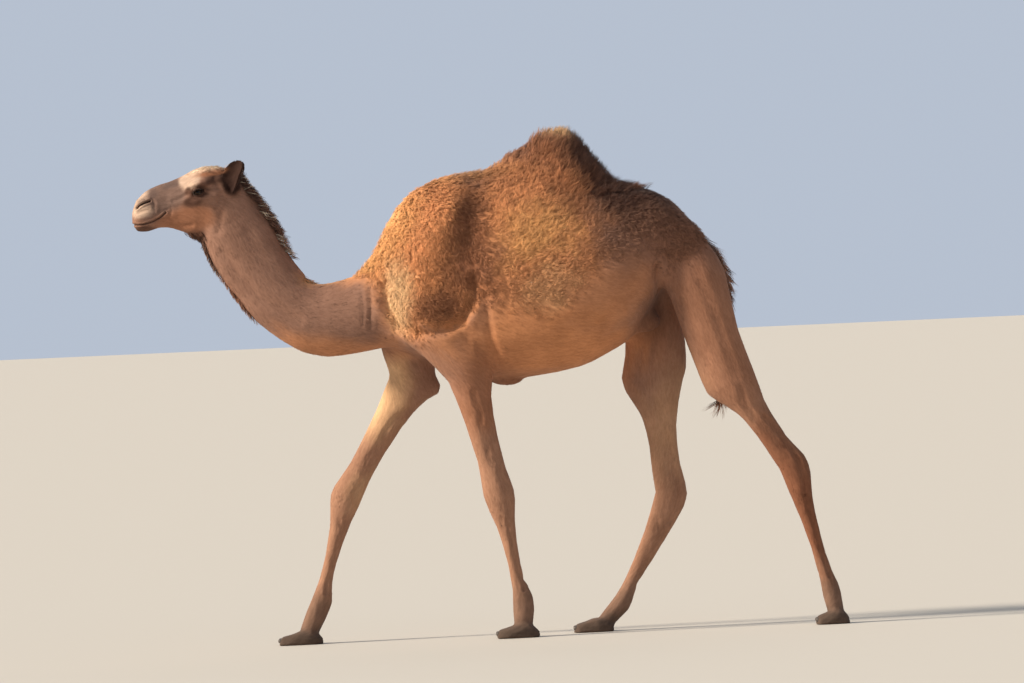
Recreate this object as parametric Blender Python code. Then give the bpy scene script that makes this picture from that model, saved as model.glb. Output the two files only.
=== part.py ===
"""A dromedary camel in a slow pace, as a still, life-size model.

Metres, +Z up. The camel faces -X, its left side is -Y, and the origin lies on the floor under the
middle of the model's box. The body is lofted and blended whole, out to the tips of the coat, and is
then parted with thin cuts into the pieces that a person would name.
"""

import math

import bmesh
import bpy
import numpy as np
from mathutils import Matrix, Vector

# Driving sizes
CUT = 0.0004  # width of the cuts that part the body
BLEND_VOXEL = 0.009  # grid on which the overlapping lofts become one surface
FACETS = 3700  # triangles left in the parted body
RING_POINTS = 32
LOFT_RINGS = 40
SHARP_EDGE = math.radians(50)  # edges steeper than this keep a crease when the pieces are shaded smooth

LEFT, RIGHT = -1, 1
SIDES = {"left": LEFT, "right": RIGHT}

# Upright slices of the body, front to back:
# x, top, bottom, half width, height of the widest place as a share, power of the crown, power of the keel
TRUNK = [
    (-0.475, 1.560, 1.225, 0.080, 0.45, 2.0, 2.0),
    (-0.420, 1.662, 1.200, 0.125, 0.45, 2.0, 2.0),
    (-0.350, 1.778, 1.187, 0.165, 0.45, 1.9, 2.0),
    (-0.270, 1.852, 1.155, 0.200, 0.45, 1.8, 2.0),
    (-0.180, 1.893, 1.105, 0.225, 0.45, 1.7, 2.0),
    (-0.080, 1.910, 1.058, 0.238, 0.45, 1.7, 2.0),
    (0.020, 1.915, 1.036, 0.252, 0.46, 1.7, 2.1),
    (0.150, 1.905, 1.050, 0.275, 0.46, 1.7, 2.1),
    (0.280, 1.890, 1.066, 0.284, 0.46, 1.7, 2.1),
    (0.400, 1.870, 1.091, 0.285, 0.46, 1.7, 2.1),
    (0.500, 1.850, 1.140, 0.274, 0.46, 1.7, 2.0),
    (0.580, 1.832, 1.184, 0.256, 0.48, 1.8, 2.0),
    (0.650, 1.815, 1.262, 0.235, 0.50, 1.9, 2.0),
    (0.700, 1.800, 1.345, 0.220, 0.52, 2.0, 2.0),
    (0.745, 1.775, 1.430, 0.205, 0.54, 2.0, 2.0),
    (0.800, 1.735, 1.468, 0.188, 0.54, 2.0, 2.0),
    (0.860, 1.645, 1.480, 0.150, 0.50, 2.0, 2.0),
    (0.920, 1.565, 1.475, 0.090, 0.50, 2.0, 2.0),
    (0.960, 1.505, 1.465, 0.035, 0.50, 2.0, 2.0),
]
HUMP = [
    (0.000, 1.905, 1.700, 0.040, 0.50, 2.0, 2.0),
    (0.080, 1.958, 1.650, 0.075, 0.45, 1.8, 2.0),
    (0.160, 2.012, 1.600, 0.110, 0.40, 1.6, 2.0),
    (0.240, 2.060, 1.600, 0.130, 0.35, 1.5, 2.0),
    (0.310, 2.084, 1.600, 0.135, 0.35, 1.4, 2.0),
    (0.365, 2.073, 1.600, 0.130, 0.35, 1.4, 2.0),
    (0.420, 2.000, 1.600, 0.115, 0.38, 1.5, 2.0),
    (0.480, 1.895, 1.650, 0.085, 0.40, 1.7, 2.0),
    (0.540, 1.835, 1.700, 0.040, 0.50, 2.0, 2.0),
]
HEAD = [
    (-1.428, 1.797, 1.754, 0.014, 0.40, 2.0, 2.0),
    (-1.414, 1.834, 1.722, 0.032, 0.40, 2.0, 2.2),
    (-1.392, 1.864, 1.711, 0.043, 0.42, 1.9, 2.2),
    (-1.360, 1.889, 1.714, 0.050, 0.45, 1.8, 2.0),
    (-1.320, 1.906, 1.727, 0.049, 0.45, 1.8, 1.9),
    (-1.280, 1.917, 1.724, 0.049, 0.50, 1.8, 1.8),
    (-1.240, 1.929, 1.713, 0.056, 0.58, 1.9, 1.7),
    (-1.200, 1.946, 1.695, 0.068, 0.62, 2.0, 1.6),
    (-1.160, 1.963, 1.674, 0.080, 0.65, 2.1, 1.5),
    (-1.120, 1.974, 1.666, 0.085, 0.65, 2.1, 1.5),
    (-1.080, 1.975, 1.685, 0.082, 0.62, 2.0, 1.6),
    (-1.040, 1.967, 1.730, 0.074, 0.58, 2.0, 1.8),
    (-1.000, 1.948, 1.780, 0.060, 0.55, 2.0, 2.0),
    (-0.965, 1.905, 1.835, 0.030, 0.50, 2.0, 2.0),
]
# Slices of the neck, root to nape: x and z of the nape side, x and z of the throat side, half width
NECK = [
    (-0.300, 1.620, -0.330, 1.215, 0.110),
    (-0.440, 1.590, -0.420, 1.192, 0.118),
    (-0.540, 1.515, -0.520, 1.176, 0.112),
    (-0.640, 1.488, -0.640, 1.166, 0.103),
    (-0.705, 1.500, -0.760, 1.194, 0.096),
    (-0.748, 1.545, -0.865, 1.262, 0.090),
    (-0.800, 1.625, -0.955, 1.340, 0.084),
    (-0.838, 1.712, -1.044, 1.462, 0.079),
    (-0.880, 1.787, -1.104, 1.554, 0.076),
    (-0.926, 1.858, -1.142, 1.655, 0.076),
    (-0.975, 1.912, -1.132, 1.750, 0.070),
]

# Legs: where each joint is, as (x, y, z). The y is mirrored by hand, since no two legs are alike in a pace.
FORELEG_POSES = {
    "left": [(-0.285, -0.130, 1.345), (-0.088, -0.150, 1.100), (0.022, -0.135, 0.590),
             (0.094, -0.125, 0.160), (0.095, -0.125, 0.035)],
    "right": [(-0.345, 0.130, 1.335), (-0.312, 0.150, 1.075), (-0.604, 0.135, 0.600),
              (-0.724, 0.120, 0.190), (-0.788, 0.118, 0.045)],
}
HINDLEG_POSES = {
    "left": [(0.835, -0.110, 1.520), (0.995, -0.135, 1.000), (1.222, -0.115, 0.640),
             (1.347, -0.110, 0.150), (1.372, -0.110, 0.035)],
    "right": [(0.740, 0.110, 1.480), (0.672, 0.135, 1.030), (0.722, 0.120, 0.555),
              (0.508, 0.112, 0.125), (0.430, 0.112, 0.035)],
}
# Thickness of a leg, from its centre line: bone, share of the bone, fore, aft, half width
FORELEG = [
    (0, -0.28, 0.050, 0.050, 0.040),
    (0, -0.05, 0.100, 0.100, 0.075),
    (0, 0.35, 0.118, 0.112, 0.088),
    (0, 0.70, 0.106, 0.110, 0.084),
    (1, 0.00, 0.096, 0.106, 0.078),
    (1, 0.09, 0.088, 0.104, 0.070),
    (1, 0.20, 0.078, 0.082, 0.061),
    (1, 0.36, 0.067, 0.066, 0.053),
    (1, 0.55, 0.060, 0.058, 0.047),
    (1, 0.76, 0.056, 0.056, 0.045),
    (1, 0.90, 0.062, 0.062, 0.050),
    (2, 0.00, 0.068, 0.066, 0.055),
    (2, 0.10, 0.062, 0.062, 0.052),
    (2, 0.22, 0.050, 0.050, 0.043),
    (2, 0.36, 0.038, 0.041, 0.036),
    (2, 0.55, 0.031, 0.032, 0.031),
    (2, 0.76, 0.028, 0.029, 0.030),
    (2, 0.90, 0.033, 0.038, 0.034),
    (3, 0.00, 0.038, 0.052, 0.039),
    (3, 0.50, 0.038, 0.050, 0.042),
    (3, 1.00, 0.034, 0.040, 0.044),
]
HINDLEG = [
    (0, -0.16, 0.055, 0.055, 0.040),
    (0, -0.03, 0.112, 0.105, 0.072),
    (0, 0.14, 0.135, 0.125, 0.088),
    (0, 0.30, 0.140, 0.118, 0.090),
    (0, 0.45, 0.140, 0.106, 0.086),
    (0, 0.65, 0.134, 0.094, 0.080),
    (0, 0.85, 0.128, 0.096, 0.074),
    (1, 0.00, 0.122, 0.098, 0.068),
    (1, 0.14, 0.086, 0.084, 0.062),
    (1, 0.32, 0.060, 0.064, 0.053),
    (1, 0.52, 0.053, 0.056, 0.046),
    (1, 0.74, 0.052, 0.055, 0.041),
    (1, 0.90, 0.054, 0.068, 0.042),
    (2, 0.00, 0.056, 0.072, 0.045),
    (2, 0.10, 0.054, 0.064, 0.043),
    (2, 0.24, 0.045, 0.048, 0.037),
    (2, 0.42, 0.036, 0.037, 0.031),
    (2, 0.64, 0.030, 0.031, 0.029),
    (2, 0.84, 0.030, 0.032, 0.032),
    (3, 0.00, 0.037, 0.043, 0.038),
    (3, 0.50, 0.034, 0.040, 0.041),
    (3, 1.00, 0.032, 0.034, 0.042),
]
# What flexing the leg adds, fore and aft, at the same places along it
FLEXED = {
    (0, 0.65): (0.000, 0.030),
    (0, 0.85): (0.000, 0.042),
    (1, 0.00): (0.012, 0.034),
    (1, 0.14): (0.026, 0.028),
    (1, 0.32): (0.014, 0.018),
    (1, 0.52): (0.009, 0.010),
    (1, 0.74): (0.012, 0.008),
    (1, 0.90): (0.012, 0.002),
    (2, 0.00): (0.008, 0.004),
    (2, 0.10): (0.002, 0.014),
    (2, 0.24): (0.000, 0.023),
    (2, 0.42): (0.000, 0.025),
    (2, 0.64): (0.000, 0.014),
}

# Tail, root to tip: x, z, half depth, half width
TAIL_Y = 0.004
TAIL = [
    (0.800, 1.640, 0.030, 0.026),
    (0.868, 1.602, 0.030, 0.027),
    (0.930, 1.535, 0.030, 0.027),
    (0.972, 1.455, 0.030, 0.025),
    (0.984, 1.350, 0.026, 0.022),
    (0.980, 1.200, 0.021, 0.018),
    (0.966, 1.060, 0.024, 0.018),
    (0.948, 0.960, 0.036, 0.022),
    (0.938, 0.890, 0.038, 0.022),
    (0.925, 0.815, 0.008, 0.008),
]

# Rounded masses on both sides: centre x, y, z, half sizes along, across and up, tilt in degrees
PAIRED_MASSES = {
    "brow": ((-1.136, 0.076, 1.902), (0.044, 0.022, 0.019), -12),
    "cheekbone": ((-1.125, 0.070, 1.845), (0.052, 0.022, 0.026), -18),
    "jaw_muscle": ((-1.078, 0.046, 1.790), (0.062, 0.034, 0.080), -20),
    "nostril_wing": ((-1.378, 0.034, 1.828), (0.034, 0.016, 0.020), 25),
    "lip": ((-1.382, 0.026, 1.770), (0.036, 0.022, 0.030), 10),
    "shoulder_blade": ((-0.190, 0.140, 1.560), (0.125, 0.085, 0.270), 24),
    "upper_arm": ((-0.215, 0.160, 1.350), (0.140, 0.075, 0.120), 20),
    "haunch": ((0.780, 0.100, 1.560), (0.140, 0.090, 0.140), 40),
}
CHEST_PAD = ((0.070, 0.0, 1.052), (0.075, 0.052, 0.030), 3)

# Where each foot's toes and heel end along x
FEET = {
    ("fore", "left"): (-0.012, 0.166),
    ("fore", "right"): (-0.905, -0.722),
    ("hind", "left"): (1.288, 1.428),
    ("hind", "right"): (0.305, 0.470),
}
# Half sizes of a nail
NAIL = (0.014, 0.012, 0.009)

EYE = (-1.146, 0.070, 1.866)
EYE_RADIUS = 0.0215
EAR_ROOT, EAR_TIP = (-1.016, 0.055, 1.862), (-0.970, 0.092, 1.996)


def spline(rows, at):
    """Rows read at the given shares of their length, on a cubic through every row."""
    rows = np.array(rows, float)
    knots = np.linspace(0, 1, len(rows))
    slopes = np.gradient(rows, knots, axis=0)
    i = np.clip(np.searchsorted(knots, at) - 1, 0, len(rows) - 2)
    step = knots[1]
    u = ((at - knots[i]) / step)[:, None]
    start = (1 + 2 * u) * (1 - u) ** 2 * rows[i] + u * (1 - u) ** 2 * step * slopes[i]
    end = u**2 * (3 - 2 * u) * rows[i + 1] + u**2 * (u - 1) * step * slopes[i + 1]
    return start + end


def ring(low, high, y, half_width, widest, crown, keel):
    """One closed ring between two points of the side view, fullest at the share `widest` of the way up."""
    turn = np.linspace(0, 2 * np.pi, RING_POINTS, endpoint=False)
    across, along = np.cos(turn), np.sin(turn)
    power = np.where(along > 0, 2 / crown, 2 / keel)
    reach = np.where(along > 0, 1 - widest, widest)
    share = widest + reach * np.sign(along) * np.abs(along) ** power
    side = y + half_width * np.sign(across) * np.abs(across) ** power
    x = low[0] + share * (high[0] - low[0])
    z = low[1] + share * (high[1] - low[1])
    return np.stack([x, side, z], axis=1)


def loft(name, rings):
    """A closed mesh through the rings, with a fan of faces over each end."""
    bm = bmesh.new()
    loops = [[bm.verts.new(point) for point in points] for points in rings]
    for one, two in zip(loops, loops[1:]):
        for i in range(len(one)):
            j = (i + 1) % len(one)
            bm.faces.new((one[i], one[j], two[j], two[i]))
    for loop, turned in ((loops[0], True), (loops[-1], False)):
        middle = bm.verts.new(sum((vert.co for vert in loop), Vector()) / len(loop))
        for i in range(len(loop)):
            pair = (loop[i], loop[(i + 1) % len(loop)])
            bm.faces.new((*(reversed(pair) if turned else pair), middle))
    return solid_from(bm, name)


def solid_from(bm, name):
    """The bmesh as a scene object, with its faces pointing out."""
    bmesh.ops.recalc_face_normals(bm, faces=bm.faces)
    if bm.calc_volume(signed=True) < 0:
        bmesh.ops.reverse_faces(bm, faces=bm.faces)
    mesh = bpy.data.meshes.new(name)
    bm.to_mesh(mesh)
    bm.free()
    obj = bpy.data.objects.new(name, mesh)
    bpy.context.collection.objects.link(obj)
    return obj


def upright_loft(name, rows, count=LOFT_RINGS):
    """A loft of upright slices: x, top, bottom, half width, widest share, crown, keel."""
    rings = [
        ring((x, bottom), (x, top), 0.0, half, widest, crown, keel)
        for x, top, bottom, half, widest, crown, keel in spline(rows, np.linspace(0, 1, count))
    ]
    return loft(name, rings)


def neck_loft():
    """The neck, whose slices lean as it curves up to the nape."""
    rings = [
        ring((tx, tz), (nx, nz), 0.0, half, 0.46, 1.8, 1.9)
        for nx, nz, tx, tz, half in spline(NECK, np.linspace(0, 1, LOFT_RINGS))
    ]
    return loft("neck_form", rings)


def leg_loft(name, joints, rows, flexed):
    """A leg: rings square to a smoothed line through the joints, as thick as the shared rows say."""
    joints = [Vector(joint) for joint in joints]
    centres, fore, aft, half = [], [], [], []
    for bone, share, front, back, width in rows:
        more_front, more_back = FLEXED.get((bone, share), (0, 0)) if flexed else (0, 0)
        centres.append(joints[bone].lerp(joints[bone + 1], share))
        fore.append(front + more_front)
        aft.append(back + more_back)
        half.append(width)
    table = np.column_stack([np.array(centres), fore, aft, half])
    table = spline(table, np.linspace(0, 1, LOFT_RINGS))
    lines = np.gradient(table[:, [0, 2]], axis=0)
    lines[1:-1] = (lines[:-2] + 2 * lines[1:-1] + lines[2:]) / 4
    rings = []
    for (x, y, z, front, back, width), (dx, dz) in zip(table, lines):
        length = math.hypot(dx, dz)
        ahead = (dz / length, -dx / length)  # square to the leg, towards the head
        low = (x + ahead[0] * front, z + ahead[1] * front)
        high = (x - ahead[0] * back, z - ahead[1] * back)
        rings.append(ring(low, high, y, width, front / (front + back), 2.0, 2.0))
    return loft(name, rings)


def ellipsoid(name, centre, sizes, tilt=0.0, yaw=0.0, rings=14, segments=20):
    """An ellipsoid, tilted about Y and then turned about Z, both in degrees."""
    bm = bmesh.new()
    bmesh.ops.create_uvsphere(bm, u_segments=segments, v_segments=rings, radius=1)
    place = (
        Matrix.Translation(centre)
        @ Matrix.Rotation(math.radians(yaw), 4, "Z")
        @ Matrix.Rotation(math.radians(tilt), 4, "Y")
        @ Matrix.Diagonal((*sizes, 1))
    )
    bm.transform(place)
    return solid_from(bm, name)


# A toe, heel to tip: share of the foot's length, half width, top, distance from the foot's middle
TOE = [
    (0.00, 0.018, 0.020, 0.014),
    (0.10, 0.032, 0.040, 0.022),
    (0.30, 0.038, 0.056, 0.029),
    (0.50, 0.039, 0.056, 0.033),
    (0.70, 0.038, 0.044, 0.036),
    (0.86, 0.034, 0.034, 0.038),
    (0.96, 0.025, 0.024, 0.038),
    (1.00, 0.012, 0.014, 0.037),
]


def toe_loft(name, toe, heel, middle, side):
    """One of a foot's two padded toes. It runs below the floor, where the sole is later cut flat."""
    rings = [
        ring((heel + share * (toe - heel), -0.014), (heel + share * (toe - heel), top),
             middle + side * away, half, 0.42, 2.3, 2.6)
        for share, half, top, away in spline(TOE, np.linspace(0, 1, 16))
    ]
    return loft(name, rings)


def leg_parts():
    """Every leg's loft and toes."""
    parts = []
    for end, poses, rows in (("fore", FORELEG_POSES, FORELEG), ("hind", HINDLEG_POSES, HINDLEG)):
        for side, joints in poses.items():
            name = f"{end}leg_{side}_form"
            parts.append(leg_loft(name, joints, rows, (end, side) == ("hind", "right")))
            toe, heel = FEET[end, side]
            for which in (LEFT, RIGHT):
                parts.append(toe_loft(f"{name}_toe", toe, heel, joints[-1][1], which))
    return parts


def body_forms():
    """Everything that blends into the one body."""
    forms = [upright_loft("trunk_form", TRUNK), upright_loft("hump_form", HUMP),
             upright_loft("head_form", HEAD), neck_loft()]
    forms += leg_parts()
    for name, (centre, sizes, tilt) in PAIRED_MASSES.items():
        for side in (LEFT, RIGHT):
            forms.append(ellipsoid(name, (centre[0], side * centre[1], centre[2]), sizes, tilt))
    forms.append(ellipsoid("elbow_left", (-0.030, -0.150, 1.080), (0.045, 0.050, 0.060)))
    forms.append(ellipsoid("elbow_right", (-0.235, 0.150, 1.040), (0.050, 0.048, 0.055)))
    return forms


def apply_modifiers(obj):
    """Replaces the object's mesh with what its modifiers make of it."""
    graph = bpy.context.evaluated_depsgraph_get()
    made = bpy.data.meshes.new_from_object(obj.evaluated_get(graph))
    obj.modifiers.clear()
    old, obj.data = obj.data, made
    bpy.data.meshes.remove(old)


def joined(forms, name):
    """The forms as one object."""
    bm = bmesh.new()
    for form in forms:
        bm.from_mesh(form.data)
        bpy.data.objects.remove(form)
    return solid_from_parts(bm, name)


def solid_from_parts(bm, name):
    mesh = bpy.data.meshes.new(name)
    bm.to_mesh(mesh)
    bm.free()
    obj = bpy.data.objects.new(name, mesh)
    bpy.context.collection.objects.link(obj)
    return obj


# Where lofts meet and the seam is eased: centre, radius
EASED = [
    ((-0.50, 0.0, 1.35), 0.26),
    ((-1.03, 0.0, 1.80), 0.13),
    ((-0.22, 0.0, 1.20), 0.30),
    ((-0.20, 0.0, 1.60), 0.36),
    ((0.75, 0.0, 1.38), 0.28),
    ((0.80, 0.0, 1.60), 0.28),
    ((0.28, 0.0, 1.86), 0.24),
    ((0.30, 0.0, 1.35), 0.30),
]


def blended_body():
    """The forms blended on a fine grid, eased at the seams, then reduced to flat facets."""
    body = joined(body_forms(), "body")
    remesh = body.modifiers.new("blend", "REMESH")
    remesh.mode = "VOXEL"
    remesh.voxel_size = BLEND_VOXEL
    apply_modifiers(body)
    points = np.empty(len(body.data.vertices) * 3)
    body.data.vertices.foreach_get("co", points)
    points = points.reshape(-1, 3)
    near = np.zeros(len(points))
    for centre, radius in EASED:
        away = np.linalg.norm(points - np.array(centre), axis=1) / radius
        near = np.maximum(near, np.clip(2 * (1 - away), 0, 1))
    eased = body.vertex_groups.new(name="eased")
    for i, weight in enumerate(near):
        if weight > 0:
            eased.add([i], weight, "REPLACE")
    soft = body.modifiers.new("ease_seams", "SMOOTH")
    soft.factor, soft.iterations, soft.vertex_group = 0.7, 90, "eased"
    relax = body.modifiers.new("relax", "SMOOTH")
    relax.factor, relax.iterations = 0.5, 3
    apply_modifiers(body)
    return body


def keep_facets(body, facets):
    """Decimates to about the given number of triangles, with the head and feet kept denser."""
    points = np.empty(len(body.data.vertices) * 3)
    body.data.vertices.foreach_get("co", points)
    points = points.reshape(-1, 3)
    dense = np.clip((-0.98 - points[:, 0]) / 0.06, 0, 1) * (points[:, 2] > 1.5)
    dense = np.maximum(dense, 0.35 * (points[:, 2] < 0.16))
    group = body.vertex_groups.new(name="reduce")
    for i, weight in enumerate(1 - 0.9 * dense):
        group.add([i], weight, "REPLACE")
    reduce = body.modifiers.new("facets", "DECIMATE")
    reduce.ratio = facets / sum(len(face.vertices) - 2 for face in body.data.polygons)
    reduce.vertex_group = "reduce"
    reduce.vertex_group_factor = 0.01
    reduce.use_collapse_triangulate = True
    apply_modifiers(body)


# Cuts that part the body: two points of the side view, and how far the cut runs across, left to right
CUTS = [
    ((-0.900, 2.010), (-1.195, 1.590), -0.30, 0.30),  # head from neck
    ((-0.680, 1.640), (-0.960, 1.240), -0.30, 0.30),  # neck, upper from lower
    ((-0.530, 1.660), (-0.480, 1.100), -0.40, 0.40),  # neck from trunk
    ((0.045, 2.100), (0.045, 0.900), -0.50, 0.50),  # shoulders from barrel
    ((0.045, 1.944), (0.620, 1.848), -0.50, 0.50),  # hump from barrel
    ((0.620, 2.000), (0.620, 1.020), -0.50, 0.50),  # barrel from rump
    ((-0.260, 1.080), (0.075, 1.015), -0.50, -0.045),  # left forearm
    ((-0.520, 1.135), (-0.120, 1.050), 0.045, 0.50),  # right forearm
    ((-0.100, 0.490), (0.150, 0.500), -0.40, 0.0),  # left fore cannon
    ((-0.780, 0.455), (-0.500, 0.525), 0.0, 0.40),  # right fore cannon
    ((0.000, 0.185), (0.200, 0.185), -0.40, 0.0),  # left forefoot
    ((-0.840, 0.185), (-0.600, 0.225), 0.0, 0.40),  # right forefoot
    ((0.690, 1.295), (1.100, 1.490), -0.50, -0.010),  # left thigh
    ((0.480, 1.085), (0.980, 1.435), 0.010, 0.50),  # right thigh
    ((0.800, 0.890), (1.180, 1.030), -0.40, 0.0),  # left gaskin
    ((0.500, 0.960), (0.880, 0.960), 0.0, 0.40),  # right gaskin
    ((1.080, 0.500), (1.400, 0.550), -0.40, 0.0),  # left hind cannon
    ((0.520, 0.480), (0.860, 0.390), 0.0, 0.40),  # right hind cannon
    ((1.220, 0.185), (1.450, 0.185), -0.40, 0.0),  # left hind foot
    ((0.420, 0.205), (0.640, 0.135), 0.0, 0.40),  # right hind foot
]
GROUND = ((-1.6, -0.6, -0.2), (1.7, 0.6, 0.0))
# A point near the middle of each piece that the cuts leave
PIECES = {
    "head": (-1.22, 0.0, 1.82),
    "neck_upper": (-0.94, 0.0, 1.62),
    "neck_lower": (-0.66, 0.0, 1.33),
    "shoulders": (-0.20, 0.0, 1.50),
    "hump": (0.30, 0.0, 1.99),
    "barrel": (0.35, 0.0, 1.50),
    "rump": (0.80, 0.0, 1.60),
    "foreleg_left_forearm": (-0.02, -0.14, 0.80),
    "foreleg_left_cannon": (0.06, -0.13, 0.35),
    "foreleg_left_foot": (0.08, -0.125, 0.06),
    "foreleg_right_forearm": (-0.48, 0.14, 0.80),
    "foreleg_right_cannon": (-0.68, 0.13, 0.35),
    "foreleg_right_foot": (-0.80, 0.12, 0.06),
    "hindleg_left_thigh": (0.93, -0.13, 1.15),
    "hindleg_left_gaskin": (1.12, -0.12, 0.78),
    "hindleg_left_cannon": (1.28, -0.11, 0.38),
    "hindleg_left_foot": (1.36, -0.11, 0.06),
    "hindleg_right_thigh": (0.70, 0.13, 1.10),
    "hindleg_right_gaskin": (0.71, 0.125, 0.70),
    "hindleg_right_cannon": (0.62, 0.115, 0.33),
    "hindleg_right_foot": (0.42, 0.112, 0.06),
}


def plate(bm, start, end, y_from, y_to):
    """Adds a thin upright plate between two points of the side view to the bmesh."""
    line = Vector((end[0] - start[0], 0, end[1] - start[1]))
    out = Vector((line.z, 0, -line.x)).normalized() * CUT / 2
    corners = []
    for y in (y_from, y_to):
        for x, z, sign in ((*start, -1), (*start, 1), (*end, 1), (*end, -1)):
            corners.append(bm.verts.new(Vector((x, y, z)) + out * sign))
    a, b, c, d, e, f, g, h = corners
    for face in ((a, b, c, d), (h, g, f, e), (a, e, f, b), (b, f, g, c), (c, g, h, d), (d, h, e, a)):
        bm.faces.new(face)


def block(bm, low, high):
    """Adds a box to the bmesh."""
    made = bmesh.ops.create_cube(bm, size=1)["verts"]
    size = Vector(high) - Vector(low)
    middle = (Vector(high) + Vector(low)) / 2
    bmesh.ops.transform(bm, matrix=Matrix.Translation(middle) @ Matrix.Diagonal((*size, 1)), verts=made)


def carve(obj, cutter, operation="DIFFERENCE"):
    """Applies an exact Boolean and hides the cutter."""
    cutter.hide_render = True
    cutter.display_type = "WIRE"
    boolean = obj.modifiers.new("carve", "BOOLEAN")
    boolean.operation, boolean.solver, boolean.object = operation, "EXACT", cutter
    apply_modifiers(obj)


def loose_pieces(obj):
    """The object's separate shells, as meshes in bmesh form."""
    bm = bmesh.new()
    bm.from_mesh(obj.data)
    seen, shells = set(), []
    for start in bm.verts:
        if start in seen:
            continue
        shell, stack = [], [start]
        seen.add(start)
        while stack:
            vert = stack.pop()
            shell.append(vert)
            for edge in vert.link_edges:
                other = edge.other_vert(vert)
                if other not in seen:
                    seen.add(other)
                    stack.append(other)
        shells.append(shell)
    pieces = []
    for shell in shells:
        index = {vert: i for i, vert in enumerate(shell)}
        inside = {face for vert in shell for face in vert.link_faces}
        points = [vert.co.copy() for vert in shell]
        faces = [[index[vert] for vert in face.verts] for face in sorted(inside, key=lambda f: f.index)]
        pieces.append((points, faces))
    bm.free()
    return pieces


def parted(body):
    """The body cut into its named pieces, with its soles cut flat on the floor."""
    for cut in [*CUTS, None]:
        bm = bmesh.new()
        if cut:
            plate(bm, *cut)
        else:
            block(bm, *GROUND)
        cutter = solid_from_parts(bm, "cut")
        carve(body, cutter)
        bpy.data.objects.remove(cutter)
    nodes = {}
    shells = [piece for piece in loose_pieces(body) if len(piece[0]) > 40]
    for points, faces in shells:
        middle = (Vector(map(min, zip(*points))) + Vector(map(max, zip(*points)))) / 2
        name = min(PIECES, key=lambda key: (Vector(PIECES[key]) - middle).length)
        mesh = bpy.data.meshes.new(name)
        mesh.from_pydata(points, [], faces)
        obj = bpy.data.objects.new(name, mesh)
        bpy.context.collection.objects.link(obj)
        nodes[name] = obj
    bpy.data.objects.remove(body)
    return nodes


def swollen(obj, gap):
    """A hidden copy of the object, swollen by the gap, to cut its seat out of a neighbour."""
    copy = obj.copy()
    copy.data = obj.data.copy()
    copy.name = f"{obj.name}_seat"
    bpy.context.collection.objects.link(copy)
    swell = copy.modifiers.new("swell", "DISPLACE")
    swell.strength, swell.mid_level = gap, 0.0
    apply_modifiers(copy)
    return copy


def seat(piece, neighbours, gap=0.0003):
    """Cuts room for the piece out of each neighbour."""
    cutter = swollen(piece, gap)
    for neighbour in neighbours:
        carve(neighbour, cutter)
    bpy.data.objects.remove(cutter)


def ear(name, side):
    """A leaf-shaped, cupped ear that opens outwards and forwards."""
    root = Vector((EAR_ROOT[0], side * EAR_ROOT[1], EAR_ROOT[2]))
    tip = Vector((EAR_TIP[0], side * EAR_TIP[1], EAR_TIP[2]))
    line = (tip - root).normalized()
    opening = Vector((-0.55, side * 0.80, 0.25))
    opening = (opening - opening.dot(line) * line).normalized()
    across = line.cross(opening)
    rings = []
    for share in np.linspace(0, 1, 8):
        half = 0.034 * math.sin(math.pi * (0.09 + 0.87 * share)) ** 0.62 + 0.0015
        cup = 0.55 * half * (1 - 0.35 * share)
        thick = 0.0045 + 0.004 * (1 - share)
        middle = root.lerp(tip, share) + opening * 0.010 * math.sin(math.pi * share)
        outline = []
        for layer, angles in ((0.0, np.linspace(-1.25, 1.25, 6)), (thick, np.linspace(1.25, -1.25, 6))):
            for angle in angles:
                sideways = math.sin(angle) / math.sin(1.25) * half
                depth = cup * (1 - math.cos(angle)) / (1 - math.cos(1.25)) - layer
                outline.append(middle + across * sideways + opening * depth)
        rings.append(outline)
    return loft(name, rings)


def tail():
    """The hanging tail with its brush, square rings along its own line."""
    table = spline(TAIL, np.linspace(0, 1, 18))
    lines = np.gradient(table[:, :2], axis=0)
    rings = []
    for (x, z, depth, half), (dx, dz) in zip(table, lines):
        length = math.hypot(dx, dz)
        ahead = (dz / length, -dx / length)
        points = []
        for turn in np.linspace(0, 2 * np.pi, 8, endpoint=False):
            push = depth * math.cos(turn)
            points.append(Vector((x + ahead[0] * push, TAIL_Y + half * math.sin(turn), z + ahead[1] * push)))
        rings.append(points)
    return loft("tail", rings)


def nails(nodes):
    """Two nails on the front of each foot, each set into its toe."""
    made = {}
    for (end, side), (toe, _) in FEET.items():
        poses = FORELEG_POSES if end == "fore" else HINDLEG_POSES
        middle = poses[side][-1][1]
        foot = nodes[f"{end}leg_{side}_foot"]
        for which, word in ((LEFT, "left"), (RIGHT, "right")):
            name = f"nail_{end}_{side}_{word}"
            centre = (toe + 0.010, middle + which * 0.038, 0.019)
            nail = ellipsoid(name, centre, NAIL, tilt=-18, yaw=which * -8, rings=6, segments=8)
            seat(nail, [foot])
            made[name] = nail
    return made


COLOURS = {
    "coat": (0.42, 0.25, 0.13),
    "wool": (0.34, 0.17, 0.07),
    "dark_wool": (0.16, 0.08, 0.04),
    "pale": (0.50, 0.36, 0.23),
    "foot": (0.14, 0.10, 0.07),
    "horn": (0.05, 0.04, 0.035),
    "eye": (0.02, 0.012, 0.008),
}
LOOK = {
    "head": "pale", "neck_upper": "coat", "neck_lower": "coat", "shoulders": "wool", "hump": "dark_wool",
    "barrel": "coat", "rump": "dark_wool", "tail": "dark_wool", "ear": "dark_wool", "eye": "eye",
    "nail": "horn", "pad": "foot", "foot": "foot",
}


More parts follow.
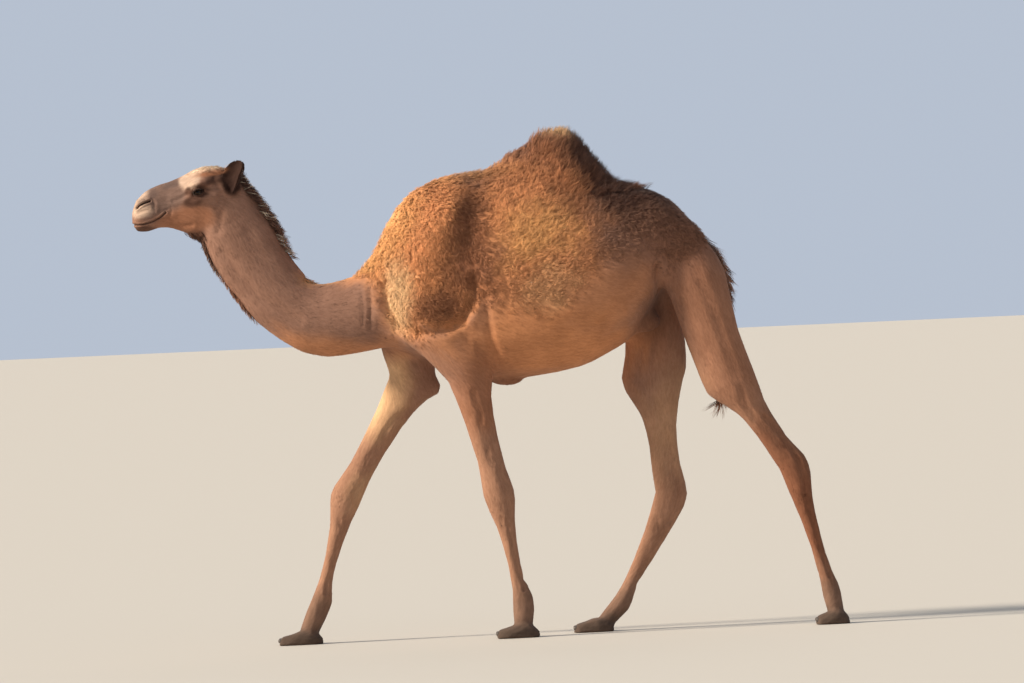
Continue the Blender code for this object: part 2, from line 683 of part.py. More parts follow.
def material_for(name):
    """A material of the node's own."""
    kind = next((look for word, look in LOOK.items() if word in name.split("_") or name == word), "coat")
    made = bpy.data.materials.new(name)
    made.use_nodes = True
    shader = made.node_tree.nodes["Principled BSDF"]
    shader.inputs["Base Color"].default_value = (*COLOURS[kind], 1)
    shader.inputs["Roughness"].default_value = 0.12 if kind == "eye" else 0.45 if kind == "horn" else 0.85
    return made


def main():
    for obj in list(bpy.data.objects):
        bpy.data.objects.remove(obj)
    body = blended_body()
    keep_facets(body, FACETS)
    nodes = parted(body)
    for side, sign in SIDES.items():
        ear_piece = ear(f"ear_{side}", sign)
        seat(ear_piece, [nodes["head"], nodes["neck_upper"]], gap=0.002)
        eye = ellipsoid(f"eye_{side}", (EYE[0], sign * EYE[1], EYE[2]), (EYE_RADIUS,) * 3, rings=8, segments=12)
        seat(eye, [nodes["head"]])
        nodes[ear_piece.name] = ear_piece
        nodes[eye.name] = eye
    nodes["tail"] = tail()
    seat(nodes["tail"], [nodes["rump"], nodes["hindleg_left_thigh"], nodes["hindleg_right_thigh"]])
    pad = ellipsoid("chest_pad", CHEST_PAD[0], CHEST_PAD[1], CHEST_PAD[2], rings=6, segments=12)
    seat(pad, [nodes["barrel"], nodes["shoulders"]])
    nodes["chest_pad"] = pad
    nodes.update(nails(nodes))
    for name, obj in nodes.items():
        obj.data.shade_smooth()
        obj.data.set_sharp_from_angle(angle=SHARP_EDGE)
        obj.data.materials.clear()
        obj.data.materials.append(material_for(name))


main()
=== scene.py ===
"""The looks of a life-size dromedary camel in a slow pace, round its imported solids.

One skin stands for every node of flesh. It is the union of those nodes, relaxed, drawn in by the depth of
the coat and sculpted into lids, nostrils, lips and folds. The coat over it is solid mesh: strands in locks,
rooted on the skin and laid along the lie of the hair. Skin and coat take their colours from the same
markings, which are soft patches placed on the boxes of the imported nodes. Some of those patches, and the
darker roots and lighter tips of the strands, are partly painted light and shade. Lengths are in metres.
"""

from __future__ import annotations

import logging
import math
from dataclasses import dataclass, field
from enum import Enum
from typing import Any, Callable, Iterable, Iterator, Sequence

import bmesh
import bpy
import numpy as np
from mathutils import Matrix, Vector


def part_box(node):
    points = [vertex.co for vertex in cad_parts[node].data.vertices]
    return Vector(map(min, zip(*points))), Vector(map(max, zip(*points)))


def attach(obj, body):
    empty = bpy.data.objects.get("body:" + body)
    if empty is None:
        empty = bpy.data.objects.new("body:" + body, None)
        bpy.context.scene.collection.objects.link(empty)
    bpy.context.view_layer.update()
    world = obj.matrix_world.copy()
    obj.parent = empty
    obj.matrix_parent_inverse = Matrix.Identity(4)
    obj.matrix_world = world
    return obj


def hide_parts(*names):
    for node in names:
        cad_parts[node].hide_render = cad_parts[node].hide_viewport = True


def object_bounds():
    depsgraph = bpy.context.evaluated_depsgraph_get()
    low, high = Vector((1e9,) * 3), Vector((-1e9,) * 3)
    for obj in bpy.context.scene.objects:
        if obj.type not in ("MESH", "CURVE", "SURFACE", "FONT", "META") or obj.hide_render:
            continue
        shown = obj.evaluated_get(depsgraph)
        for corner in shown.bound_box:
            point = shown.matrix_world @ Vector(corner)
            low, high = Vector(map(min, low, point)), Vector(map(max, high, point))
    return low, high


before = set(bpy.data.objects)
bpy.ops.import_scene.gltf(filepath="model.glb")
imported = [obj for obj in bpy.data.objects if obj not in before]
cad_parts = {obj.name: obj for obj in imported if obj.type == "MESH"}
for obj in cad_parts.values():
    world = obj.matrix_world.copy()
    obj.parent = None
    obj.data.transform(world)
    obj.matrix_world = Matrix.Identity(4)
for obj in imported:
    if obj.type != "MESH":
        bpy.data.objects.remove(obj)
CAD_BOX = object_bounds()

log = logging.getLogger("camel")
Array = np.ndarray
Mesh, Object = bpy.types.Mesh, bpy.types.Object
Colour = tuple[float, float, float]

MM = 0.001
WAVES, GOLDEN_TURN = 7, 2.399963
LEFT, RIGHT = -1.0, 1.0
SIDES = {"left": LEFT, "right": RIGHT}
BOXES = {name: tuple(np.array(corner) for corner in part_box(name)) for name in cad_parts}

LEGS = {
    "foreleg": ("forearm", "cannon", "foot"),
    "hindleg": ("thigh", "gaskin", "cannon", "foot"),
}
TRUNK = ("shoulders", "barrel", "hump", "rump", "chest_pad")
NECK = ("neck_upper", "neck_lower")
EARS = ("ear_left", "ear_right")


def middle_of(node: str) -> Array:
    """The middle of a node's box."""
    return (BOXES[node][0] + BOXES[node][1]) / 2.0


def leg_nodes(leg: str, side: str) -> list[str]:
    """The names of one leg's nodes, from the top down."""
    return [f"{leg}_{side}_{length}" for length in LEGS[leg]]


FLESH = [
    "head", *NECK, *TRUNK, "tail", *EARS,
    *(name for leg in LEGS for side in SIDES for name in leg_nodes(leg, side)),
]


def spot(node: str, along: float, up: float, out: float = 0.0) -> Array:
    """The place at shares of a node's box, along it from nose to tail and up it, and out from the middle."""
    low, high = BOXES[node]
    return np.array([low[0] + along * (high[0] - low[0]), out, low[2] + up * (high[2] - low[2])])


def smooth(share: Array) -> Array:
    """An S-shaped step: 0 below 0, 1 above 1, and 3s^2 - 2s^3 between."""
    share = np.clip(share, 0.0, 1.0)
    return share * share * (3.0 - 2.0 * share)


def bell(distance: Array, width: float) -> Array:
    """A soft hill of height one: exp(-(distance / width)^2)."""
    return np.exp(-((distance / width) ** 2))


def unit(vectors: Array) -> Array:
    """The vectors at length one."""
    return vectors / np.maximum(np.linalg.norm(vectors, axis=-1, keepdims=True), 1e-9)


def mirrored(points: Array) -> Array:
    """The points with those on the left brought over to the right."""
    return np.stack([points[:, 0], np.abs(points[:, 1]), points[:, 2]], axis=1)


def away_from(points: Array, place: Array) -> Array:
    """How far each point is from a place or from its mirror image."""
    return np.linalg.norm(mirrored(points) - np.abs(place) * np.sign([place[0], 1, 1]), axis=1)


def circle(sides: int) -> Array:
    """Angles spread evenly round a circle."""
    return np.linspace(0.0, 2.0 * math.pi, sides, endpoint=False)


def fetch(items: Any, key: str, width: int, kind: Any = np.int32) -> Array:
    """A property of every item in a mesh's collection, one row each."""
    values = np.empty(len(items) * width, kind)
    items.foreach_get(key, values)
    return values.reshape(-1, width)


def read_points(mesh: Mesh) -> Array:
    """The mesh's vertices, one row each."""
    return fetch(mesh.vertices, "co", 3, np.float32).astype(float)


def read_normals(mesh: Mesh) -> Array:
    """The outward direction at each of the mesh's vertices."""
    return fetch(mesh.vertex_normals, "vector", 3, np.float32).astype(float)


def read_triangles(mesh: Mesh, key: str = "vertices") -> Array:
    """The mesh's triangles, as rows of three vertex numbers, or of three loops."""
    mesh.calc_loop_triangles()
    return fetch(mesh.loop_triangles, key, 3)


def node_points(name: str) -> Array:
    """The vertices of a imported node, one row each."""
    return read_points(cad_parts[name].data)


def ripple(points: Array, wavelength: float) -> Array:
    """Smooth unevenness between about -1 and 1: the mean of seven sine waves along spread directions.

    Args:
        points: Where it is read, one row each.
        wavelength: The length of the middle wave.

    Returns:
        One value for each point.
    """
    waves = np.arange(WAVES)
    turns = waves * GOLDEN_TURN
    rise = 1.0 - (waves + 0.5) * 2.0 / WAVES
    level = np.sqrt(1.0 - rise**2)
    ways = np.stack([np.cos(turns) * level, np.sin(turns) * level, rise], axis=1)
    pitch = 2.0 * math.pi / (wavelength * (0.6 + 0.16 * waves))
    return np.sin(points @ ways.T * pitch + turns * 3.1).mean(axis=1) * 1.8


# ---- fields ----


@dataclass(frozen=True)
class Patch:
    """A soft-edged ellipsoid on both sides of the body.

    Attributes:
        node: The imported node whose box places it.
        along: Share of that box's length.
        up: Share of that box's height.
        out: Distance of its centre from the middle plane.
        reach: Half sizes along, across and up.
        lean: Degrees that its top leans back.
        blur: Width of the soft edge, as a share of its size.
        ragged: How uneven its edge is.
    """

    node: str
    along: float
    up: float
    out: float
    reach: tuple[float, float, float]
    lean: float = 0.0
    blur: float = 0.3
    ragged: float = 0.14

    def mask(self, points: Array) -> Array:
        """1 inside, 0 outside: an S-step over the ellipsoid's distance, made uneven by two ripples."""
        offset = mirrored(points) - spot(self.node, self.along, self.up, self.out)
        turn = math.radians(self.lean)
        along = offset[:, 0] * math.cos(turn) - offset[:, 2] * math.sin(turn)
        up = offset[:, 0] * math.sin(turn) + offset[:, 2] * math.cos(turn)
        far = np.linalg.norm(np.stack([along, offset[:, 1], up], axis=1) / self.reach, axis=1)
        far = far + self.ragged * (ripple(points, 0.16) + 0.6 * ripple(points, 0.05))
        return smooth((1.0 + self.blur - far) / (2.0 * self.blur))


@dataclass(frozen=True)
class Band:
    """Everything below a height on the legs, with a soft upper edge.

    Attributes:
        height: Where the edge is, above the floor.
        blur: Half the depth of the soft edge.
    """

    height: float
    blur: float

    def mask(self, points: Array) -> Array:
        """1 below the height and 0 above it, by an S-step."""
        uneven = 0.25 * self.blur * ripple(points, 0.08)
        return smooth((self.height + self.blur - points[:, 2] + uneven) / (2.0 * self.blur))


@dataclass(frozen=True)
class Layers:
    """A value that patches are laid over, one after the other, as glazes are.

    Attributes:
        base: The value under every patch, a number or a colour.
        patches: Triples of a patch, its value and its strength.
    """

    base: float | Colour
    patches: tuple[tuple[Any, Any, float], ...]

    def at(self, points: Array) -> Array:
        """The value at each point: value = value * (1 - mask) + patch value * mask, patch by patch."""
        base = np.atleast_1d(np.array(self.base, float))
        value = np.repeat(base[None, :], len(points), axis=0)
        for patch, top, strength in self.patches:
            mask = patch.mask(points)[:, None] * strength
            value = value * (1.0 - mask) + np.atleast_1d(np.array(top, float))[None, :] * mask
        return value if value.shape[1] > 1 else value[:, 0]


@dataclass(frozen=True)
class Stroke:
    """A groove or ridge that is drawn on both faces of the body, along a line in the side view.

    Attributes:
        start: The node and shares that place its first point.
        steps: Its other points, as pairs of how far back and up from the first.
        depth: How far it sinks, or rises if negative.
        width: Its spread to each side.
        lips: How far its two banks rise.
        least_out: It is only drawn further out than this.
        side: Only this side of the body, or both if 0.
    """

    start: tuple[str, float, float]
    steps: tuple[tuple[float, float], ...]
    depth: float
    width: float
    lips: float = 0.0
    least_out: float = 0.0
    side: float = 0.0

    def distance(self, points: Array) -> Array:
        """Distance from the line in the side view, in widths: the least over its straight stretches."""
        knots = spot(*self.start)[[0, 2]] + np.array([(0.0, 0.0), *self.steps])
        flat = points[:, [0, 2]]
        best = np.full(len(points), np.inf)
        for one, two in zip(knots, knots[1:]):
            step = two - one
            share = np.clip(((flat - one) @ step) / (step @ step), 0.0, 1.0)
            best = np.minimum(best, np.linalg.norm(flat - one - share[:, None] * step, axis=1))
        return best / self.width

    def reach(self, points: Array) -> Array:
        """1 on the faces that the stroke is drawn on, 0 elsewhere."""
        out = points[:, 1] * self.side if self.side else np.abs(points[:, 1])
        return smooth((out - self.least_out) / 0.006 + 0.5)

    def push(self, points: Array) -> Array:
        """How far each point moves outwards.

        With d the distance in widths, the groove is -depth * exp(-d^2), and its banks are
        lips * exp(-((d - 2) / 0.9)^2).
        """
        far = self.distance(points)
        groove = -self.depth * np.exp(-(far**2))
        banks = self.lips * bell(far - 2.0, 0.9)
        return (groove + banks) * self.reach(points)

    def mask(self, points: Array) -> Array:
        """1 in the stroke and 0 off it, for colour."""
        return smooth((1.15 - self.distance(points)) / 0.7) * self.reach(points)


def strokes(*rows: tuple[Any, ...]) -> Iterator[Stroke]:
    """The strokes of rows: a node, two shares, the steps, depth, width and lips in mm, and least_out."""
    for node, along, up, steps, depth, width, lips, least_out in rows:
        yield Stroke((node, along, up), steps, depth * MM, width * MM, lips * MM, least_out)


MOUTH, NOSTRIL = strokes(
    ("head", 0.009, 0.272, ((0.024, -0.003), (0.044, -0.002), (0.084, 0.008), (0.114, 0.023), (0.139, 0.043)),
     6, 3.4, 2.2, 0),
    ("head", 0.057, 0.482, ((0.012, 0.01), (0.03, 0.019), (0.054, 0.026)), 10, 4, 3.2, 0.012),
)
FACE_STROKES = (
    MOUTH,
    NOSTRIL,
    *strokes(
        ("head", 0.061, 0.575, ((0.03, 0.014), (0.052, 0.01)), -2.5, 9, 0, 0.01),
        ("head", 0.188, 0.578, ((0.012, -0.012), (0.012, -0.036)), 2.5, 7, 0.8, 0.01),
        ("head", 0.072, 0.425, ((0.04, 0.008), (0.066, 0)), 1.6, 5, 0.8, 0.014),
        ("head", 0.306, 0.431, ((0.014, 0.008),), 1.8, 5, 0, 0.01),
        ("head", 0.341, 0.345, ((0.012, 0.022), (0.01, 0.04)), 1.6, 6, 0, 0.01),
        ("head", 0.51, 0.626, ((-0.026, -0.014), (-0.055, -0.022)), 3, 8, 0.8, 0.01),
        ("head", 0.499, 0.562, ((0.05, -0.008), (0.12, 0.012)), -3, 12, 0, 0.03),
        ("head", 0.516, 0.716, ((0.026, 0.014), (0.056, 0.016), (0.086, 0.006)), -5.5, 9, 0, 0.03),
        ("head", 0.718, 0.722, ((0.03, -0.002),), 3, 10, 0, 0.03),
        ("neck_upper", 0.181, 0.656, ((0.012, 0.045), (0.02, 0.095)), 3.2, 16, 0, 0.02),
        ("head", 0.772, 0.441, ((0.02, 0.05),), 2.5, 9, 0.6, 0.03),
        ("head", 0.214, 0.173, ((0.06, 0.012), (0.15, 0.018)), 2.5, 8, 0.5, 0.006),
    ),
)
BODY_STROKES = tuple(strokes(
    ("shoulders", 0.201, 0.488, ((0.005, -0.1), (0.045, -0.175), (0.125, -0.215),
     (0.225, -0.21), (0.31, -0.165), (0.355, -0.09), (0.36, 0)), 15, 20, 4, 0.05),
    ("shoulders", 0.902, 0.918, ((-0.045, -0.15), (-0.04, -0.3), (-0.01, -0.44)), 9, 45, 0, 0.04),
    ("shoulders", 0.911, 0.411, ((0.01, -0.1), (0.02, -0.18), (0.045, -0.27)), 8, 16, 2, 0.1),
    ("shoulders", 0.822, 0.301, ((0, -0.08), (0.004, -0.16)), -4, 16, 0, 0.1),
    ("shoulders", 0.082, 0.466, ((0.006, -0.08), (-0.004, -0.17)), 4, 7, 1.6, 0.03),
    ("shoulders", 0.023, 0.444, ((0.006, -0.07), (0, -0.13)), 3, 6, 1.2, 0.03),
    ("neck_upper", 0.212, 0.523, ((0.06, -0.1), (0.15, -0.2), (0.3, -0.29)), 6, 18, 2, 0.03),
    ("neck_upper", 0.463, 0.656, ((0.07, -0.14), (0.17, -0.22), (0.3, -0.27)), 4, 22, 0, 0.03),
    ("rump", 0.218, 0.466, ((0.015, -0.1), (0, -0.19), (-0.03, -0.27)), 9, 15, 3, 0.08),
    ("rump", 0.654, 0.434, ((0.06, -0.16), (0.11, -0.32), (0.15, -0.45)), 5, 16, 1, 0.05),
    ("rump", 0.463, 0.246, ((0.05, -0.14), (0.1, -0.26)), 3.5, 18, 0, 0.05),
    ("shoulders", 0.387, 0.213, ((0.06, -0.1), (0.12, -0.18)), 5, 16, 1, 0.05),
))


# The lines drawn down each kind of leg length: how far behind its middle as a share of its half width, where
# the line starts and ends as shares of its height from the top, and the depth and width in mm.
LEG_LINES = {
    "forearm": ((0.12, 0.1, 0.62, 6, 10), (0.48, 0.35, 0.98, 5, 8)),
    "gaskin": ((0.1, 0.05, 0.6, 6, 11), (0.42, 0.3, 0.98, 8, 9)),
    "cannon": ((0.28, 0.02, 0.98, 5.5, 6), (-0.15, 0, 0.16, 4, 7)),
}
SLICES, HALF_SLICE = 8, 0.045


def leg_line(name: str, back: float, top: float, low: float) -> list[tuple[float, float]]:
    """A line down a length of leg, through eight slices of its node by height.

    Args:
        name: The length's node.
        back: How far behind the middle, as a share of half the width.
        top: Share of the height, from the top, where the line starts.
        low: Share where it ends.

    Returns:
        Its points in the side view.
    """
    points = node_points(name)
    box_low, box_high = BOXES[name]
    line = []
    for level in box_high[2] - np.linspace(top, low, SLICES) * (box_high[2] - box_low[2]):
        ring = points[np.abs(points[:, 2] - level) < HALF_SLICE, 0]
        middle, half = (ring.max() + ring.min()) / 2.0, (ring.max() - ring.min()) / 2.0
        line.append((middle + back * half, level))
    return line


def leg_strokes() -> Iterator[Stroke]:
    """The tendons and muscle lines of the legs, drawn on each leg's own side."""
    for leg in LEGS:
        for side, sign in SIDES.items():
            for name in leg_nodes(leg, side):
                low, high = (corner[[0, 2]] for corner in BOXES[name])
                for *course, depth, width in LEG_LINES.get(name.rsplit("_", 1)[1], ()):
                    line = leg_line(name, *course)
                    along, up = ((np.array(line[0]) - low) / (high - low)).tolist()
                    steps = tuple((x - line[0][0], z - line[0][1]) for x, z in line[1:])
                    depth, width = depth * MM, width * MM
                    yield Stroke((name, along, up), steps, depth, width, 0.25 * depth, 0.0, sign)


@dataclass(frozen=True)
class Eye:
    """One eye: where its ball is, and the shape of the lids that the skin draws over it.

    Attributes:
        side: Which side of the head, -1 or 1.
        tilt: Degrees that the rear corner is higher than the front one.
        half_length: Half the length of the opening between the lids.
        upper: Rise of the upper lid's edge above the line of the corners.
        lower: Drop of the lower lid's edge.
        lid: Thickness of the lids.
        zone: How far from the middle the skin is shaped, and how far behind it.
    """

    side: float
    tilt: float = 16.0
    half_length: float = 18.5 * MM
    upper: float = 8.0 * MM
    lower: float = 8.5 * MM
    lid: float = 2.2 * MM
    zone: tuple[float, float] = (0.050, 0.020)

    @property
    def name(self) -> str:
        """The eye's node."""
        return "eye_left" if self.side == LEFT else "eye_right"

    @property
    def centre(self) -> Array:
        """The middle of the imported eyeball."""
        return middle_of(self.name)

    @property
    def radius(self) -> float:
        """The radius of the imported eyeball."""
        return float((BOXES[self.name][1] - BOXES[self.name][0]).max()) / 2.0

    def axes(self) -> Array:
        """Rows: forward along the opening, up across it, and out of the head."""
        out = unit(np.array([-0.16, self.side, 0.08]))
        turn = math.radians(self.tilt)
        forward = np.array([-math.cos(turn), 0.0, -math.sin(turn)])
        forward = unit(forward - (forward @ out) * out)
        return np.stack([forward, np.cross(out, forward) * self.side, out])

    def edge(self, share: Array, rise: float) -> Array:
        """Height of a lid's edge at a share of the half length: rise * (1 - share^2)^0.8."""
        return rise * np.clip(1.0 - share**2, 0.0, 1.0) ** 0.8

    def margin(self, flat: Array) -> Array:
        """Signed distance from the lids' edge, negative in the opening: the least to 96 places along it."""
        share = np.sin(np.linspace(-math.pi / 2.0, math.pi / 2.0, 48))
        edges = (self.edge(share, rise) for rise in (self.upper, -self.lower))
        ring = np.concatenate([np.stack([share * self.half_length, edge], 1) for edge in edges])
        away = np.linalg.norm(flat[:, None, :] - ring[None], axis=2).min(axis=1)
        rise = np.where(flat[:, 1] > 0, self.upper, self.lower)
        inside = np.abs(flat[:, 1]) < self.edge(flat[:, 0] / self.half_length, 1.0) * rise
        return np.where(inside, -away, away)

    def local(self, points: Array) -> tuple[Array, Array]:
        """The points in the eye's own axes, and whether each is near the eye."""
        local = (points - self.centre) @ self.axes().T
        round_about, behind = self.zone
        return local, (np.linalg.norm(local[:, :2], axis=1) < round_about) & (local[:, 2] > -behind)

    def mask(self, points: Array) -> Array:
        """1 on the lids' dark edge and in the opening, 0 from 9 mm away: the lids' own dark rims, widened by
        painted shade round the eye.
        """
        local, near = self.local(points)
        mask = np.zeros(len(points))
        mask[near] = smooth((9.0 * MM - self.margin(local[near, :2])) / (7.0 * MM))
        return mask

    def draw_lids(self, points: Array) -> Array:
        """The skin's points round the eye, laid over the ball as lids and behind it in the opening.

        A lid stands at sqrt((radius + lid)^2 - r^2) over the eye's middle plane, next to the edge fully and
        further off as the smooth maximum of that and the head, (a + b + sqrt((a - b)^2 + k^2)) / 2. Each
        lid has a bead along its edge and two folds behind it. All of it fades out 42 mm from the middle.
        """
        axes = self.axes()
        local, near = self.local(points)
        flat, height = local[near, :2], local[near, 2]
        away = self.margin(flat)
        across = np.linalg.norm(flat, axis=1)
        shell = np.sqrt(np.maximum((self.radius + self.lid) ** 2 - across**2, 0.0))
        ball = np.sqrt(np.maximum(self.radius**2 - across**2, 0.0))
        over = (shell + height + np.sqrt((shell - height) ** 2 + (4.0 * MM) ** 2)) / 2.0
        tight = 1.0 - smooth((away - 1.0 * MM) / (8.0 * MM))
        lid = tight * shell + (1.0 - tight) * over
        above = flat[:, 1] > 0
        bead = 0.7 * MM * bell(away - 1.2 * MM, 1.1 * MM)
        fold = np.where(above, 2.2, 1.0) * MM * bell(away - 6.0 * MM, 1.5 * MM)
        second = np.where(above, 0.9, 0.8) * MM * bell(away - 10.5 * MM, 1.6 * MM)
        lid = lid + bead - fold - second
        fade = 1.0 - smooth((across - 28.0 * MM) / (14.0 * MM))
        target = np.where(away < 0.0, ball - 4.0 * MM, height + fade * (lid - height))
        close = (away >= 0.0) & (away < 0.6 * MM)
        slide = np.where(close, -0.9 * away, 0.0)
        flat = flat + slide[:, None] * unit(flat)
        moved = points.copy()
        moved[near] = np.concatenate([flat, target[:, None]], axis=1) @ axes + self.centre
        return moved

    def lash_roots(self, count: int, upper: bool) -> tuple[Array, Array, Array]:
        """Places along a lid's edge on the ball's shell, with the lid's own up and each lash's way."""
        axes = self.axes()
        share = np.linspace(-0.90, 0.90, count)
        rise = self.upper if upper else -self.lower
        flat = np.stack([share * self.half_length, self.edge(share, rise)], axis=1)
        flat = flat + np.sign(rise) * np.array([0.0, 1.0 * MM])
        height = np.sqrt((self.radius + self.lid) ** 2 - (flat**2).sum(axis=1))
        places = np.concatenate([flat, height[:, None]], axis=1) @ axes + self.centre
        ways = np.stack([share * 0.45, np.full(count, 0.1 if upper else -0.5), np.ones(count)], axis=1)
        return places, np.repeat(axes[1:2] * (1.0 if upper else -1.0), count, axis=0), unit(ways @ axes)


EYES = (Eye(LEFT), Eye(RIGHT))


class Tint:
    """The colours of the animal, as linear red, green and blue. The belly's colour is partly painted bounce
    light from the floor, and some patches of the markings lay the other colours as painted light and shade.
    """

    SAND = (0.264, 0.141, 0.097)
    LEG = (0.33, 0.172, 0.106)
    THIGH = (0.325, 0.148, 0.082)
    # The belly's own warm colour, made paler and more orange as painted bounce light from the floor.
    BELLY_AND_BOUNCE_LIGHT = (0.54, 0.225, 0.094)
    PALE = (0.8, 0.5, 0.265)
    CREAM = (0.6, 0.43, 0.32)
    WOOL = (0.68, 0.29, 0.124)
    GOLD = (0.78, 0.385, 0.15)
    RUST = (0.32, 0.13, 0.063)
    UMBER = (0.208, 0.084, 0.045)
    DARK = (0.085, 0.037, 0.024)
    BROWN = (0.068, 0.031, 0.021)
    BLACK = (0.026, 0.014, 0.011)
    GREY = (0.192, 0.118, 0.092)
    SLATE = (0.125, 0.083, 0.071)
    EAR = (0.022, 0.008, 0.005)
    FROST = (0.64, 0.52, 0.4)
    CROWN = (0.96, 0.66, 0.46)
    FETLOCK = (0.18, 0.108, 0.075)
    HOOF = (0.08, 0.056, 0.043)


# How woolly the coat is: for each node, rows of the share of wool and the patch that has it.
WOOL_FORM = (
    ("shoulders",
     (1, 0.494, 0.654, 0.16, (0.19, 0.2, 0.33), 12, 0.35),
     (1, 0.565, 0.433, 0.2, (0.165, 0.15, 0.155), 0, 0.2),
     (1, 0.156, 0.632, 0.05, (0.13, 0.13, 0.095), -38, 0.35)),
    ("neck_lower",
     (1, 0.738, 0.91, 0, (0.17, 0.05, 0.026), -10, 0.35)),
    ("shoulders",
     (1, 0.956, 0.907, 0.06, (0.26, 0.26, 0.16), 0, 0.35)),
    ("barrel",
     (1, 0.443, 0.786, 0.14, (0.32, 0.24, 0.23), -8, 0.35),
     (1, 0.339, 0.53, 0.24, (0.21, 0.16, 0.16), -20, 0.5)),
    ("shoulders",
     (0.75, 0.902, 0.588, 0.22, (0.1, 0.16, 0.2), 0, 0.4)),
    ("barrel",
     (0.7, 0.791, 0.619, 0.2, (0.16, 0.18, 0.11), -20, 0.5)),
    ("hump",
     (1, 0.617, 0.436, 0, (0.2, 0.2, 0.15), 0, 0.35)),
    ("barrel",
     (1, 1, 0.775, 0.05, (0.24, 0.22, 0.12), -20, 0.45)),
    ("rump",
     (0.75, 0.436, 0.748, 0.08, (0.17, 0.22, 0.15), -42, 0.5)),
)
